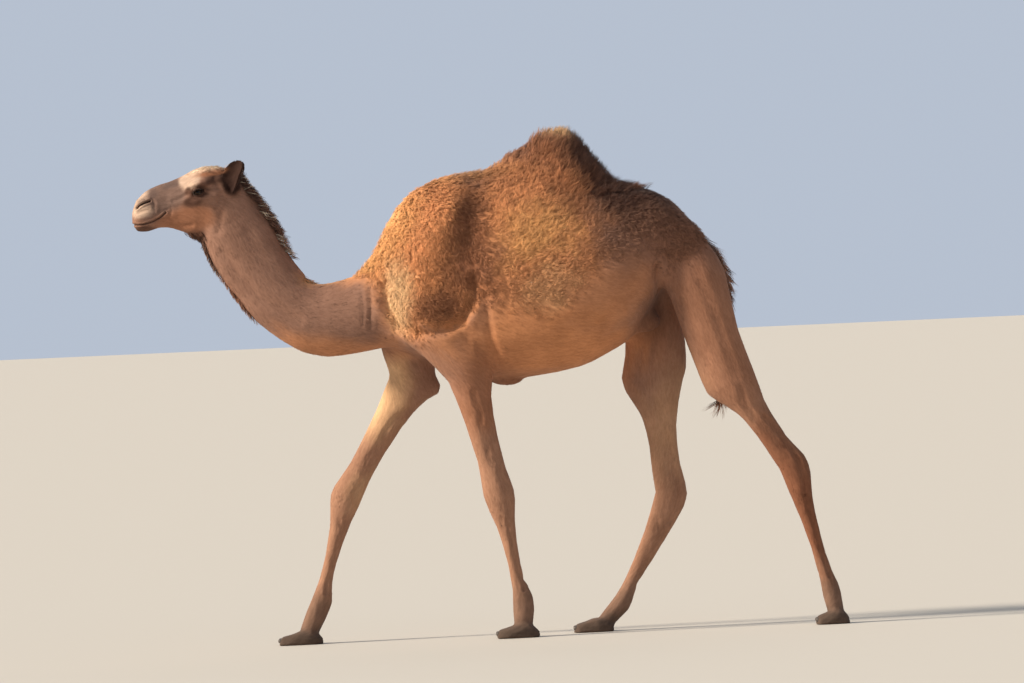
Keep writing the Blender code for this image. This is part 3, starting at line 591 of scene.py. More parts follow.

# The markings, with some patches of painted light and shade among them, glazed in this order: for each node,
# rows of a tint, its strength and the patch that has it.
MARKINGS_AND_PAINTED_LIGHT = (
    ("barrel",
     # The belly's tint here lays painted bounce light from the floor over its own warm colour.
     (Tint.BELLY_AND_BOUNCE_LIGHT, 0.85, 0.304, 0.174, 0.1, (0.44, 0.32, 0.16), 8, 0.5),
     (Tint.BELLY_AND_BOUNCE_LIGHT, 0.6, 0.513, 0.396, 0.28, (0.34, 0.2, 0.16), 0, 0.5),
     (Tint.RUST, 0.2, 0.93, 0.552, 0.22, (0.2, 0.2, 0.18), 10, 0.5)),
    ("tail",
     (Tint.THIGH, 0.8, 0.731, 0.453, 0.12, (0.15, 0.2, 0.33), -20, 0.5)),
    ("rump",
     (Tint.UMBER, 0.42, 0.49, 0.622, 0.12, (0.15, 0.22, 0.2), -35, 0.5),
     (Tint.UMBER, 0.45, 0.218, 0.121, 0.05, (0.12, 0.12, 0.11), 0, 0.5)),
    ("shoulders",
     (Tint.RUST, 0.65, 0.867, 0.003, 0.16, (0.13, 0.1, 0.19), 0, 0.5)),
    ("neck_lower",
     # The same painted bounce light under the neck.
     (Tint.BELLY_AND_BOUNCE_LIGHT, 0.6, 0.597, 0.112, 0.02, (0.32, 0.12, 0.05), 8, 0.5)),
    ("shoulders",
     (Tint.WOOL, 1, 0.494, 0.654, 0.16, (0.21, 0.24, 0.34), 12, 0.4),
     (Tint.WOOL, 1, 0.565, 0.433, 0.2, (0.175, 0.17, 0.165), 0, 0.2),
     (Tint.WOOL, 1, 0.103, 0.61, 0.03, (0.15, 0.14, 0.085), -38, 0.4)),
    ("neck_lower",
     (Tint.GOLD, 1, 0.831, 0.936, 0, (0.19, 0.08, 0.035), -12, 0.4)),
    ("barrel",
     (Tint.WOOL, 1, 0.27, 0.797, 0.14, (0.28, 0.26, 0.2), -6, 0.4),
     (Tint.WOOL, 0.85, 0.339, 0.552, 0.24, (0.21, 0.18, 0.16), -20, 0.5),
     (Tint.GOLD, 1, 0.304, 0.675, 0.26, (0.16, 0.12, 0.125), -30, 0.6, 0.3),
     (Tint.PALE, 0.3, 0.374, 0.441, 0.27, (0.11, 0.1, 0.09), -30, 0.6, 0.4)),
    ("shoulders",
     (Tint.GOLD, 0.75, 0.281, 0.742, 0.08, (0.08, 0.16, 0.19), 30, 0.6),
     # Paler gold on the front of the wool lobe: partly the wool's own colour, partly painted sunlight on the
     # lobe's front.
     (Tint.PALE, 0.9, 0.298, 0.433, 0.18, (0.06, 0.12, 0.14), 0, 0.5),
     (Tint.GOLD, 0.4, 0.813, 0.963, 0, (0.26, 0.14, 0.04), 0, 0.5),
     # A darker band along the lower edge of the wool lobe: painted shadow of the lobe, over a darker brown.
     (Tint.UMBER, 0.75, 0.583, 0.367, 0.24, (0.13, 0.12, 0.07), 0, 0.5),
     # These three patches run down the groove behind the shoulder: darker wool, with painted shade of the
     # groove under the shoulder's bulge.
     (Tint.UMBER, 0.66, 0.76, 0.632, 0.22, (0.07, 0.16, 0.24), 14, 0.5),
     (Tint.UMBER, 0.65, 0.849, 0.786, 0.2, (0.07, 0.15, 0.16), 6, 0.5),
     (Tint.UMBER, 0.6, 0.813, 0.521, 0.22, (0.055, 0.16, 0.11), 10, 0.5),
     (Tint.RUST, 0.7, 0.92, 0.544, 0.22, (0.075, 0.12, 0.14), 0, 0.5)),
    ("hump",
     (Tint.RUST, 0.45, 0.141, 0.152, 0.06, (0.13, 0.14, 0.06), -28, 0.5),
     (Tint.RUST, 0.7, 0.571, 0.246, 0.08, (0.12, 0.14, 0.11), -24, 0.6, 0.3),
     (Tint.RUST, 0.65, 0.322, 0.673, 0, (0.1, 0.1, 0.04), -28, 0.5),
     (Tint.DARK, 0.9, 0.844, 0.246, 0.04, (0.085, 0.16, 0.13), -22, 0.4)),
    ("barrel",
     (Tint.UMBER, 0.5, 0.617, 0.797, 0.16, (0.1, 0.14, 0.08), -30, 0.6, 0.3),
     (Tint.DARK, 0.9, 0.93, 0.831, 0.05, (0.18, 0.22, 0.08), -18, 0.4)),
    ("rump",
     (Tint.DARK, 0.6, 0.054, 0.857, 0.1, (0.12, 0.18, 0.1), -20, 0.5),
     (Tint.RUST, 0.8, 0.163, 0.991, 0, (0.14, 0.06, 0.016), -14, 0.4)),
    ("hump",
     (Tint.PALE, 0.85, 0.594, 0.91, 0, (0.085, 0.08, 0.06), 0, 0.5)),
    ("neck_upper",
     (Tint.BROWN, 0.95, 0.564, 0.755, 0, (0.048, 0.034, 0.23), -26, 0.35),
     (Tint.DARK, 0.85, 0.01, 0.49, 0, (0.04, 0.034, 0.16), -18, 0.45),
     (Tint.UMBER, 0.85, 0.287, 0.175, 0, (0.045, 0.03, 0.15), -42, 0.35)),
    ("head",
     (Tint.DARK, 0.85, 0.521, 0.073, 0, (0.09, 0.07, 0.022), -14, 0.35),
     (Tint.GREY, 1, 0.258, 0.601, 0.03, (0.13, 0.1, 0.08), -20, 0.25),
     (Tint.RUST, 0.65, 0.499, 0.297, 0.06, (0.13, 0.1, 0.055), -8, 0.4),
     (Tint.SLATE, 0.8, 0.379, 0.776, 0.03, (0.045, 0.06, 0.018), -18, 0.4),
     (Tint.SLATE, 0.6, 0.204, 0.671, 0.04, (0.022, 0.05, 0.02), 0, 0.5),
     (Tint.CREAM, 0.8, 0.061, 0.649, 0, (0.045, 0.07, 0.045), 35, 0.4),
     (Tint.CREAM, 0.9, 0.094, 0.441, 0.03, (0.046, 0.06, 0.026), -15, 0.5),
     (Tint.BROWN, 0.75, 0.105, 0.192, 0, (0.05, 0.08, 0.022), 0, 0.3),
     (Tint.CREAM, 0.8, 0.547, 0.831, 0.03, (0.05, 0.09, 0.05), -30, 0.25),
     (Tint.CROWN, 0.95, 0.696, 0.978, 0, (0.1, 0.07, 0.03), -8, 0.35),
     (Tint.BROWN, 0.8, 0.788, 0.831, 0.07, (0.046, 0.05, 0.024), -14, 0.4),
     (Tint.DARK, 0.75, 0.678, 0.754, 0.08, (0.03, 0.04, 0.012), -18, 0.4),
     (Tint.BROWN, 0.85, 0.569, 0.543, 0.08, (0.042, 0.05, 0.024), -16, 0.4),
     (Tint.DARK, 0.7, 0.525, 0.671, 0.08, (0.014, 0.05, 0.016), 0, 0.4),
     (Tint.BROWN, 0.85, 0.893, 0.696, 0.06, (0.022, 0.04, 0.04), -18, 0.4),
     (Tint.EAR, 0.95, 0.937, 0.888, 0.09, (0.066, 0.07, 0.105), -14, 0.15, 0.05),
     # A brown patch over the whole eye: painted shade under the brow and lids, over their dark skin.
     (Tint.BROWN, 0.92, 0.624, 0.642, 0.08, (0.044, 0.05, 0.026), -12, 0.35),
     (Tint.RUST, 0.8, 0.74, 0.901, 0.05, (0.062, 0.05, 0.013), -10, 0.5)),
    ("rump",
     # Painted shadow on the inner thighs, under the belly.
     (Tint.BROWN, 0.5, 0.095, 0.215, 0.02, (0.08, 0.12, 0.13), -20, 0.5)),
    ("tail",
     (Tint.PALE, 0.22, -0.211, 0.054, 0.16, (0.12, 0.16, 0.24), 10, 0.5),
     # Placed from the tail's box, down on the left hind cannon, which stands here: painted shade over the
     # leg's own colour.
     (Tint.UMBER, 1, 1.942, -0.368, 0.16, (0.15, 0.14, 0.33), -22, 0.5)),
    ("shoulders",
     # These two patches lie on the right foreleg, which stands here: painted sunlight, strong on its upper
     # part and faint lower down.
     (Tint.PALE, 0.7, 0.174, -0.03, 0.16, (0.085, 0.14, 0.17), 22, 0.5),
     (Tint.PALE, 0.3, -0.039, -0.449, 0.16, (0.06, 0.14, 0.08), 22, 0.5)),
    ("barrel",
     (Tint.UMBER, 0.8, 0.043, 0.007, 0, (0.085, 0.06, 0.04), 0, 0.4)),
)


def patches(table: Iterable[tuple[Any, ...]], columns: int) -> Iterator[tuple[Any, ...]]:
    """The rows of a table by nodes, each as its patch and the columns that stand before the patch's own."""
    for node, *rows in table:
        for row in rows:
            yield (Patch(node, *row[columns:]), *row[:columns])


WOOL_PATCHES = tuple(patches(WOOL_FORM, 1))


@dataclass(frozen=True)
class Coat:
    """How the coat varies over the animal.

    Attributes:
        wool: How woolly it is, 0 to 1.
        depth: How far the skin lies under the solids.
        markings: Its colour: the markings, with painted light and shade on some patches.
    """

    wool: Layers = Layers(0.0, tuple((patch, share, 1) for patch, share in WOOL_PATCHES))
    depth: Layers = Layers(
        3.5 * MM,
        (
            *((patch, (4.0 + 12.0 * share) * MM, 1) for patch, share in WOOL_PATCHES),
            (Patch("hump", 0.639, 0.72, 0, (0.17, 0.2, 0.13), 0, 0.5), 30.0 * MM, 1),
            (Patch("hump", 0.639, 1.052, 0, (0.11, 0.2, 0.06), 0, 0.5), 42.0 * MM, 1),
            (Patch("barrel", 0.896, 0.886, 0, (0.18, 0.12, 0.06), -15, 0.4), 22.0 * MM, 1),
            (Patch("head", 0.389, 0.537, 0, (0.28, 0.2, 0.16), 0, 0.1, 0), 2.2 * MM, 1),
            (Patch("head", 0.937, 0.856, 0.09, (0.06, 0.07, 0.1), 0, 0.1, 0), 1.0 * MM, 1),
            (Band(0.16, 0.08), 1.2 * MM, 1),
        ),
    )
    markings: Layers = Layers(
        Tint.SAND,
        (
            (Band(0.95, 0.25), Tint.LEG, 1.0),
            *patches(MARKINGS_AND_PAINTED_LIGHT, 2),
            # Painted shade in the mouth's crease and in the nostril slits, laid in black along their grooves.
            (MOUTH, Tint.BLACK, 0.75),
            (NOSTRIL, Tint.BLACK, 0.95),
            # Each eye's opening and lid rims in black, with a wide margin that is partly painted shade round
            # the eye.
            *((eye, Tint.BLACK, 1.0) for eye in EYES),
            (Band(0.20, 0.10), Tint.FETLOCK, 0.85),
            (Band(0.065, 0.035), Tint.HOOF, 0.90),
        ),
    )


# The lie of the hair: for each node, rows of the shares along and up its box, how far out, and the way it
# points there (back, outward, up).
LIE = (
    ("head",
     (0.039, 0.441, 0.03, (0.6, 0.2, 0.6)), (0.149, 0.665, 0.03, (1, 0.1, 0.35)),
     (0.127, 0.345, 0.045, (0.8, 0.1, -0.3)), (0.324, 0.76, 0.03, (1, 0, 0.25)),
     (0.324, 0.537, 0.05, (1, 0.1, 0)), (0.324, 0.249, 0.04, (1, 0, -0.15)),
     (0.543, 0.824, 0.05, (0.8, 0.2, 0.5)), (0.608, 0.441, 0.075, (0.9, 0, -0.35)),
     (0.718, 0.952, 0.03, (1, 0, 0.15)), (0.761, 0.281, 0.06, (0.7, 0, -0.7)),
     (0.499, 0.121, 0.03, (0.8, 0, -0.6)), (0.827, 0.856, 0.05, (0.9, 0.2, -0.1)),
     (0.937, 0.856, 0.08, (0.2, 0.25, 0.95))),
    ("neck_upper",
     (0.312, 0.689, 0.07, (0.35, 0, -0.95)), (0.363, 0.407, 0.08, (0.45, 0, -0.9)),
     (0.69, 0.242, 0.08, (0.6, 0, -0.8))),
    ("neck_lower",
     (0.386, 0.511, 0.09, (0.9, 0, -0.45)), (0.738, 0.431, 0.1, (1, 0, -0.05))),
    ("shoulders",
     (0.067, 0.356, 0.12, (0.95, 0, -0.3))),
    ("neck_lower",
     (0.738, 0.856, 0.02, (0.5, 0.3, 0.7))),
    ("neck_upper",
     (0.615, 0.821, 0.02, (0.75, 0.1, -0.5)), (0.816, 0.589, 0.02, (0.75, 0.1, -0.5)),
     (0.01, 0.523, 0.02, (-0.2, 0, -1)), (0.287, 0.209, 0.02, (0.3, 0, -0.9))),
    ("shoulders",
     (0.174, 0.654, 0.1, (-0.1, 0.3, -0.9)), (0.476, 0.852, 0.12, (0.15, 0.3, -0.9)),
     (0.476, 0.632, 0.2, (0.1, 0.1, -1)), (0.334, 0.466, 0.18, (0, 0, -1)),
     (0.476, 0.334, 0.2, (0.6, 0, -0.75)), (0.689, 0.301, 0.2, (0.95, 0, 0.1)),
     (0.778, 0.433, 0.22, (0.3, 0, -0.9)), (0.742, 0.687, 0.22, (0.2, 0, -1)),
     (0.831, 0.94, 0.06, (0.7, 0.4, -0.1)), (0.476, 0.191, 0.15, (0.4, 0, -0.9))),
    ("barrel",
     (0.096, 0.842, 0.18, (0.45, 0, 0.8))),
    ("hump",
     (0.435, 0.389, 0.07, (0.65, 0, 0.75)), (0.617, 0.863, 0.02, (0.5, 0, 0.9)),
     (0.844, 0.389, 0.05, (0.5, 0, 0.85))),
    ("barrel",
     (0.27, 0.675, 0.26, (0.75, 0, 0.6)), (0.53, 0.753, 0.25, (0.8, 0, 0.5)),
     (0.443, 0.508, 0.28, (0.95, 0, 0.15)), (0.096, 0.452, 0.26, (0.8, 0, -0.2)),
     (0.443, 0.285, 0.27, (0.97, 0, -0.15)), (0.878, 0.452, 0.25, (0.95, 0, -0.2)),
     (0.27, 0.085, 0.12, (1, 0, 0)), (0.896, 0.864, 0.05, (0.6, 0.1, 0.5))),
    ("rump",
     (0.218, 0.92, 0.08, (0.7, 0.3, 0)), (0.218, 0.654, 0.22, (0.6, 0, -0.7)),
     (0.654, 0.654, 0.12, (0.6, 0.1, -0.75)), (0.49, 0.34, 0.18, (0.3, 0, -0.95)),
     (0.954, 0.497, 0, (0.3, 0, -0.95))),
    ("tail",
     (0.843, 0.511, 0, (-0.05, 0, -1)), (0.686, 0.159, 0, (-0.2, 0, -1))),
)


class Lie:
    """The lie of the hair everywhere: the named ways, and each leg's own line, blended by nearness."""

    closeness = 0.03

    def __init__(self) -> None:
        """Collects the named places on both sides, and one for each length of leg, along that leg."""
        places, ways = [], []
        for node, *rows in LIE:
            for along, up, out, way in rows:
                for side in SIDES.values():
                    places.append(spot(node, along, up, side * out))
                    ways.append(np.array(way) * [1.0, side, 1.0])
        for leg in LEGS:
            for side in SIDES:
                names = leg_nodes(leg, side)
                middles = np.array([node_points(name).mean(axis=0) for name in names])
                for upper, lower in zip(middles, middles[1:]):
                    for share in (0.0, 0.5):
                        places.append(upper + share * (lower - upper))
                        ways.append(lower - upper)
                places.append(middles[-1])
                ways.append(np.array([-0.7, 0.0, -0.6]))
        self.places = np.array(places)
        self.ways = unit(np.array(ways))

    def at(self, points: Array, normals: Array) -> Array:
        """The way the hair lies: the mean of the named ways, each weighted by 1 / distance^4.

        Args:
            points: Where it is read.
            normals: The skin's outward directions there.

        Returns:
            Unit vectors in the skin's plane.
        """
        squares = ((points[:, None, :] - self.places[None, :, :]) ** 2).sum(axis=2)
        weights = 1.0 / (squares + self.closeness**2) ** 2
        ways = weights @ self.ways
        ways = ways - (ways * normals).sum(axis=1, keepdims=True) * normals
        return unit(ways)


# ---- meshes ----


def linked(name: str, data: Any) -> Object:
    """A new object in the scene, with its data."""
    made = bpy.data.objects.new(name, data)
    bpy.context.scene.collection.objects.link(made)
    return made


def object_from(name: str, points: Array, faces: Array) -> Object:
    """A mesh object from arrays, in the scene, at the origin and shaded smooth.

    Args:
        name: The piece's name.
        points: Its vertices, one row each.
        faces: Vertex numbers, one row for each face, all with as many corners.

    Returns:
        The object.
    """
    corners = faces.shape[1]
    mesh = bpy.data.meshes.new(name)
    mesh.vertices.add(len(points))
    mesh.vertices.foreach_set("co", np.ascontiguousarray(points, np.float32).ravel())
    mesh.loops.add(faces.size)
    mesh.loops.foreach_set("vertex_index", np.ascontiguousarray(faces, np.int32).ravel())
    mesh.polygons.add(len(faces))
    mesh.polygons.foreach_set("loop_start", np.arange(0, faces.size, corners, dtype=np.int32))
    mesh.update(calc_edges=True)
    mesh.validate()
    mesh.shade_smooth()
    return linked(name, mesh)


def write_points(mesh: Mesh, points: Array) -> None:
    """Moves the mesh's vertices."""
    mesh.vertices.foreach_set("co", points.astype(np.float32).ravel())
    mesh.update()


def paint(mesh: Mesh, name: str, kind: str, key: str, values: Array) -> None:
    """Stores one value for each vertex as an attribute of a kind, where key is foreach_set's name for it."""
    layer = mesh.attributes.new(name, kind, "POINT")
    layer.data.foreach_set(key, np.ascontiguousarray(values, np.float32).ravel())


def paint_tint(mesh: Mesh, colours: Array) -> None:
    """Stores a colour for each vertex as the tint."""
    paint(mesh, "tint", "FLOAT_COLOR", "color", np.concatenate([colours, np.ones((len(colours), 1))], axis=1))


def modify(made: Object, kind: str, **settings: Any) -> None:
    """Replaces the object's mesh with what a modifier makes of it.

    Args:
        made: The object.
        kind: The modifier's type.
        settings: Its own settings.
    """
    modifier = made.modifiers.new("step", kind)
    for key, value in settings.items():
        setattr(modifier, key, value)
    graph = bpy.context.evaluated_depsgraph_get()
    fresh = bpy.data.meshes.new_from_object(made.evaluated_get(graph))
    made.modifiers.clear()
    old, made.data = made.data, fresh
    bpy.data.meshes.remove(old)


def relax(points: Array, edges: Array, rate: Array, rounds: int) -> Array:
    """Evens a surface: each round moves a point towards the mean of its neighbours by its rate.

    Args:
        points: The vertices.
        edges: Pairs of vertex numbers.
        rate: How far each vertex moves, 0 to 1.
        rounds: How often.

    Returns:
        The moved vertices.
    """
    ends = np.concatenate([edges[:, 0], edges[:, 1]])
    others = np.concatenate([edges[:, 1], edges[:, 0]])
    count = np.maximum(np.bincount(ends, minlength=len(points)), 1)
    for _ in range(rounds):
        means = np.stack(
            [np.bincount(ends, points[others, axis], len(points)) / count for axis in range(3)], axis=1
        )
        points = points + rate[:, None] * (means - points)
    return points


# ---- skin ----


@dataclass(frozen=True)
class Foot:
    """One foot: two toes on a broad pad.

    Attributes:
        nails: The nodes of its two nails.
        toe: How far the flesh is drawn forward over each nail's root.
        rise: How far it is drawn up there.
        cleft: Depth of the cleft between the toes.
        groove: Depth of the groove along the pad's edge.
    """

    nails: tuple[str, str]
    toe: float = 9.0 * MM
    rise: float = 2.5 * MM
    cleft: float = 8.0 * MM
    groove: float = 2.2 * MM

    def shape(self, points: Array, normals: Array) -> Array:
        """The skin's points with toes drawn over the nails, a cleft between them and an edge to the pad.

        Each toe is a pull forward by exp(-(r / 24 mm)^2) round the nail's root. The cleft sinks by
        exp(-(y / 5 mm)^2) along the middle of the upper side, and the pad's edge is a level groove
        16 mm above the floor.
        """
        middles = [middle_of(name) for name in self.nails]
        centre = (middles[0] + middles[1]) / 2.0
        near = smooth((0.22 - np.linalg.norm(points - centre, axis=1)) / 0.04)
        near = near * (np.abs(points[:, 1] - centre[1]) < 0.11)
        behind = points[:, 0] - centre[0]
        moved = points.copy()
        for middle in middles:
            root = middle + [0.016, 0.0, 0.002]
            pull = bell(np.linalg.norm(points - root, axis=1), 24.0 * MM)
            moved[:, 0] -= self.toe * pull
            moved[:, 2] += self.rise * pull * (points[:, 2] > 0.02)
        gap = bell(points[:, 1] - centre[1], 5.0 * MM)
        gap = gap * smooth((0.085 - behind) / 0.06) * smooth((points[:, 2] - 0.006) / 0.008)
        edge = bell(points[:, 2] - 16.0 * MM, 3.5 * MM) * smooth((behind - 0.012) / 0.02)
        push = -(self.cleft * gap + self.groove * edge) * near
        return moved + normals * push[:, None]


@dataclass
class Skin:
    """The one skin over every length of flesh.

    Attributes:
        coat: Depth of the coat, markings and wool.
        lie: The lie of the hair.
        voxel: Grid of the union.
        swell: How far each node is swollen, so that the cuts between them close.
        ear_swell: The same for the thin ears.
        triangles: Triangles left before the face is refined.
        lip_cleft: Depth of the upper lip's cleft.
        ear_hollow: Depth of the ears' open side.
        body: The skin's object.
    """

    coat: Coat
    lie: Lie
    voxel: float = 5.0 * MM
    swell: float = 0.6 * MM
    ear_swell: float = 1.6 * MM
    triangles: int = 82_000
    lip_cleft: float = 4.0 * MM
    ear_hollow: float = 5.0 * MM
    body: Object = field(init=False)

    def node_shell(self, name: str) -> tuple[Array, Array]:
        """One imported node, welded and swollen along its normals.

        Args:
            name: The node.

        Returns:
            Its points and triangles.
        """
        bm = bmesh.new()
        bm.from_mesh(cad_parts[name].data)
        bmesh.ops.remove_doubles(bm, verts=bm.verts, dist=0.01 * MM)
        mesh = bpy.data.meshes.new("shell")
        bm.to_mesh(mesh)
        bm.free()
        swell = self.ear_swell if name in EARS else self.swell
        points = read_points(mesh) + read_normals(mesh) * swell
        triangles = read_triangles(mesh)
        bpy.data.meshes.remove(mesh)
        return points, triangles

    def tail_core(self) -> tuple[Array, Array]:
        """The tail without its hair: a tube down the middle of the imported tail.

        The line passes through the mean of the node's points in each of ten slices by height. The tube's
        radius falls from 17 mm to 8 mm.
        """
        points = node_points("tail")
        levels = np.linspace(points[:, 2].max(), points[:, 2].min() + 0.05, 11)
        slices = [(points[:, 2] <= high) & (points[:, 2] >= low) for high, low in zip(levels, levels[1:])]
        line = np.array([points[inside].mean(axis=0) for inside in slices])
        radius = np.linspace(17.0, 8.0, len(line)) * MM
        along = unit(np.gradient(line, axis=0))
        side = np.array([0.0, 1.0, 0.0])
        over = np.cross(along, side)
        turn = circle(12)
        ring = np.cos(turn)[None, :, None] * side + np.sin(turn)[None, :, None] * over[:, None, :]
        return closed_tube(line[:, None, :] + radius[:, None, None] * ring)

    def groin_fold(self) -> tuple[Array, Array]:
        """The fold of skin that hangs between the thighs: an ellipsoid of rings about its long axis."""
        angle = np.linspace(0.0, math.pi, 14)[1:-1]
        turn = circle(18)
        rings = np.roll(turned_rings(np.sin(angle), np.cos(turn), np.sin(turn), np.cos(angle)), 1, axis=-1)
        return closed_tube(spot("rump", 0.041, 0.124, 0.0) + rings * [0.085, 0.050, 0.052])

    def union(self) -> Object:
        """All the shells, made one surface by a voxel remesh."""
        shells = [self.node_shell(name) for name in FLESH if name != "tail"]
        shells += [self.tail_core(), self.groin_fold()]
        offsets = np.cumsum([0, *(len(points) for points, _ in shells)])
        points = np.concatenate([points for points, _ in shells])
        faces = np.concatenate([faces + offset for (_, faces), offset in zip(shells, offsets)])
        made = object_from("skin", points, faces)
        modify(made, "REMESH", mode="VOXEL", voxel_size=self.voxel)
        return made

    @staticmethod
    def face_share(points: Array) -> Array:
        """1 on the head and ears, 0 elsewhere, with a soft edge behind the jaw."""
        rear = BOXES["head"][1][0]
        low = BOXES["head"][0][2]
        ahead = smooth((rear + 0.03 - points[:, 0]) / 0.06)
        return ahead * smooth((points[:, 2] - low + 0.03) / 0.03)

    def even(self, mesh: Mesh) -> None:
        """Relaxes the facets and the voxel steps away, gently where the form is fine."""
        points = read_points(mesh)
        legs = smooth((1.12 - points[:, 2]) / 0.12)
        feet = smooth((0.20 - points[:, 2]) / 0.10)
        rate = 0.55 * (1.0 - 0.80 * legs) * (1.0 - 0.75 * feet)
        rate = rate * (1.0 - 0.80 * self.face_share(points))
        ear = Patch("ear_left", 0.5, 0.55, 0.08, (0.062, 0.06, 0.075), 0, 0.15, 0.0).mask(points)
        rate = rate * (1.0 - 0.70 * ear)
        floor = points[:, 2] < 0.012
        moved = relax(points, fetch(mesh.edges, "vertices", 2), rate, 50)
        moved[floor, 2] = points[floor, 2]
        write_points(mesh, moved)

    def draw_in(self, mesh: Mesh) -> None:
        """Moves the skin in by the depth of the coat."""
        points = read_points(mesh)
        write_points(mesh, points - read_normals(mesh) * self.coat.depth.at(points)[:, None])

    def carve(self, mesh: Mesh) -> None:
        """Draws the folds of the trunk, the muscles and tendons of the legs, and the toes."""
        points, normals = read_points(mesh), read_normals(mesh)
        body = 1.0 - self.face_share(points)
        above = smooth((points[:, 2] - 0.10) / 0.05)
        push = sum(stroke.push(points) for stroke in (*BODY_STROKES, *leg_strokes())) * body * above
        points = points + normals * push[:, None]
        for leg in ("fore", "hind"):
            for side in SIDES:
                foot = Foot((f"nail_{leg}_{side}_left", f"nail_{leg}_{side}_right"))
                points = foot.shape(points, normals)
        points[:, 2] = np.maximum(points[:, 2], 0.5 * MM)
        write_points(mesh, points)

    def thin_out(self) -> None:
        """Collapses the flat stretches and keeps the head and feet dense."""
        points = read_points(self.body.data)
        dense = np.maximum(self.face_share(points), 0.55 * smooth((0.30 - points[:, 2]) / 0.10))
        group = self.body.vertex_groups.new(name="reduce")
        steps = 10
        level = np.round((1.0 - 0.93 * dense) * steps).astype(int)
        for step in range(steps + 1):
            group.add(np.flatnonzero(level == step).tolist(), step / steps, "REPLACE")
        modify(
            self.body, "DECIMATE", ratio=self.triangles / (2.0 * len(self.body.data.polygons)),
            vertex_group=group.name, vertex_group_factor=0.02, use_collapse_triangulate=True,
        )
        self.body.vertex_groups.clear()

    def refine(self, zones: Sequence[tuple[Array, float]]) -> None:
        """Halves the edges near some places, on both sides of the head.

        Args:
            zones: Pairs of a place and how far round it.
        """
        points = read_points(self.body.data)
        near = np.zeros(len(points), bool)
        for place, reach in zones:
            near |= away_from(points, place) < reach
        bm = bmesh.new()
        bm.from_mesh(self.body.data)
        inside = near.tolist()
        chosen = [edge for edge in bm.edges if inside[edge.verts[0].index] and inside[edge.verts[1].index]]
        bmesh.ops.subdivide_edges(bm, edges=chosen, cuts=1, use_grid_fill=True)
        bmesh.ops.triangulate(bm, faces=[face for face in bm.faces if len(face.verts) > 4])
        bm.to_mesh(self.body.data)
        bm.free()

    def soften(self, zones: Sequence[tuple[Array, float]], rounds: int) -> None:
        """Relaxes the skin a little near some places and their mirror images."""
        mesh = self.body.data
        points = read_points(mesh)
        rate = np.zeros(len(points))
        for place, reach in zones:
            rate = np.maximum(rate, 0.5 * smooth((reach - away_from(points, place)) / (0.25 * reach)))
        write_points(mesh, relax(points, fetch(mesh.edges, "vertices", 2), rate, rounds))

    def sculpt(self) -> None:
        """Draws the grooves, lips and nostrils of the face, the cleft of the upper lip, and the lids."""
        mesh = self.body.data
        points, normals = read_points(mesh), read_normals(mesh)
        push = sum(stroke.push(points) for stroke in FACE_STROKES) * self.face_share(points)
        front = smooth((spot("head", 0.06, 0)[0] - points[:, 0]) / 0.010)
        lip_low, lip_high = (spot("head", 0, up)[2] for up in (0.28, 0.56))
        level = smooth((points[:, 2] - lip_low) / 0.006) * smooth((lip_high - points[:, 2]) / 0.02)
        cleft = bell(points[:, 1], 2.6 * MM) * front * level
        push = push - self.lip_cleft * cleft
        points = self.shape_ears(points + normals * push[:, None], normals)
        for eye in EYES:
            points = eye.draw_lids(points)
        write_points(mesh, points)

    def shape_ears(self, points: Array, normals: Array) -> Array:
        """The points with each ear broader and blunt at its upper end, and hollow on its open side.

        With h the share of the ear's height, x moves off the ear's own middle line by 40% of its
        distance from h = 0.35 up, and what stands above h = 0.86 sinks by 40%. The hollow sinks by
        5 mm * exp(-(x / 17 mm)^2) on the faces that look forward and outward. All of it fades out away
        from the ear's middle, slowly enough that the head in front of the ear doesn't fold.
        """
        moved = points.copy()
        for name, side in zip(EARS, SIDES.values()):
            low, high = BOXES[name]
            cloud = node_points(name)
            share = (cloud[:, 2] - low[2]) / (high[2] - low[2])
            levels = np.linspace(0.1, 0.9, 7)
            line = np.array([cloud[np.abs(share - level) < 0.1][:, :2].mean(axis=0) for level in levels])
            h = (points[:, 2] - low[2]) / (high[2] - low[2])
            near = (points[:, 1] * side > 0.02) & (h > 0.0)
            near &= (points[:, 0] > low[0] - 0.06) & (points[:, 0] < high[0] + 0.06)
            h = h[near]
            across = points[near, 0] - np.interp(h, levels, line[:, 0])
            beside = points[near, 1] - np.interp(h, levels, line[:, 1])
            fade = smooth((0.090 - np.abs(across)) / 0.050) * smooth((0.034 - np.abs(beside)) / 0.018)
            moved[near, 0] += 0.40 * smooth((h - 0.05) / 0.3) * across * fade
            moved[near, 2] -= 0.4 * np.maximum(h - 0.86, 0.0) * (high[2] - low[2]) * fade
            facing = smooth((normals[near] @ unit(np.array([-0.6, side, 0.0])) - 0.1) / 0.4)
            hollow = self.ear_hollow * bell(across, 17.0 * MM) * facing * fade
            hollow = hollow * smooth((h - 0.34) / 0.2) * smooth((0.98 - h) / 0.16)
            moved[near] -= normals[near] * hollow[:, None]
        return moved

    def build(self) -> Object:
        """Makes the skin and gives it its markings and the lie of its hair."""
        self.body = self.union()
        log.info("union: %d faces", len(self.body.data.polygons))
        for step in (self.even, self.draw_in, self.carve):
            step(self.body.data)
        self.thin_out()
        muzzle = [(spot("head", 0.10, 0.45, -0.03), 0.075), (spot("head", 0.25, 0.45, -0.03), 0.070)]
        for halved, relaxed, rounds in ((0.058, 0.070, 4), (0.043, 0.050, 4), (0.029, 0.036, 3)):
            self.refine([*muzzle, (EYES[0].centre, halved)])
            self.soften([*muzzle, (EYES[0].centre, relaxed)], rounds)
            muzzle = []
        self.sculpt()
        mesh = self.body.data
        mesh.shade_smooth()
        points, normals = read_points(mesh), read_normals(mesh)
        paint_tint(mesh, self.coat.markings.at(points))
        paint(mesh, "lie", "FLOAT_VECTOR", "vector", self.lie.at(points, normals))
        return self.body


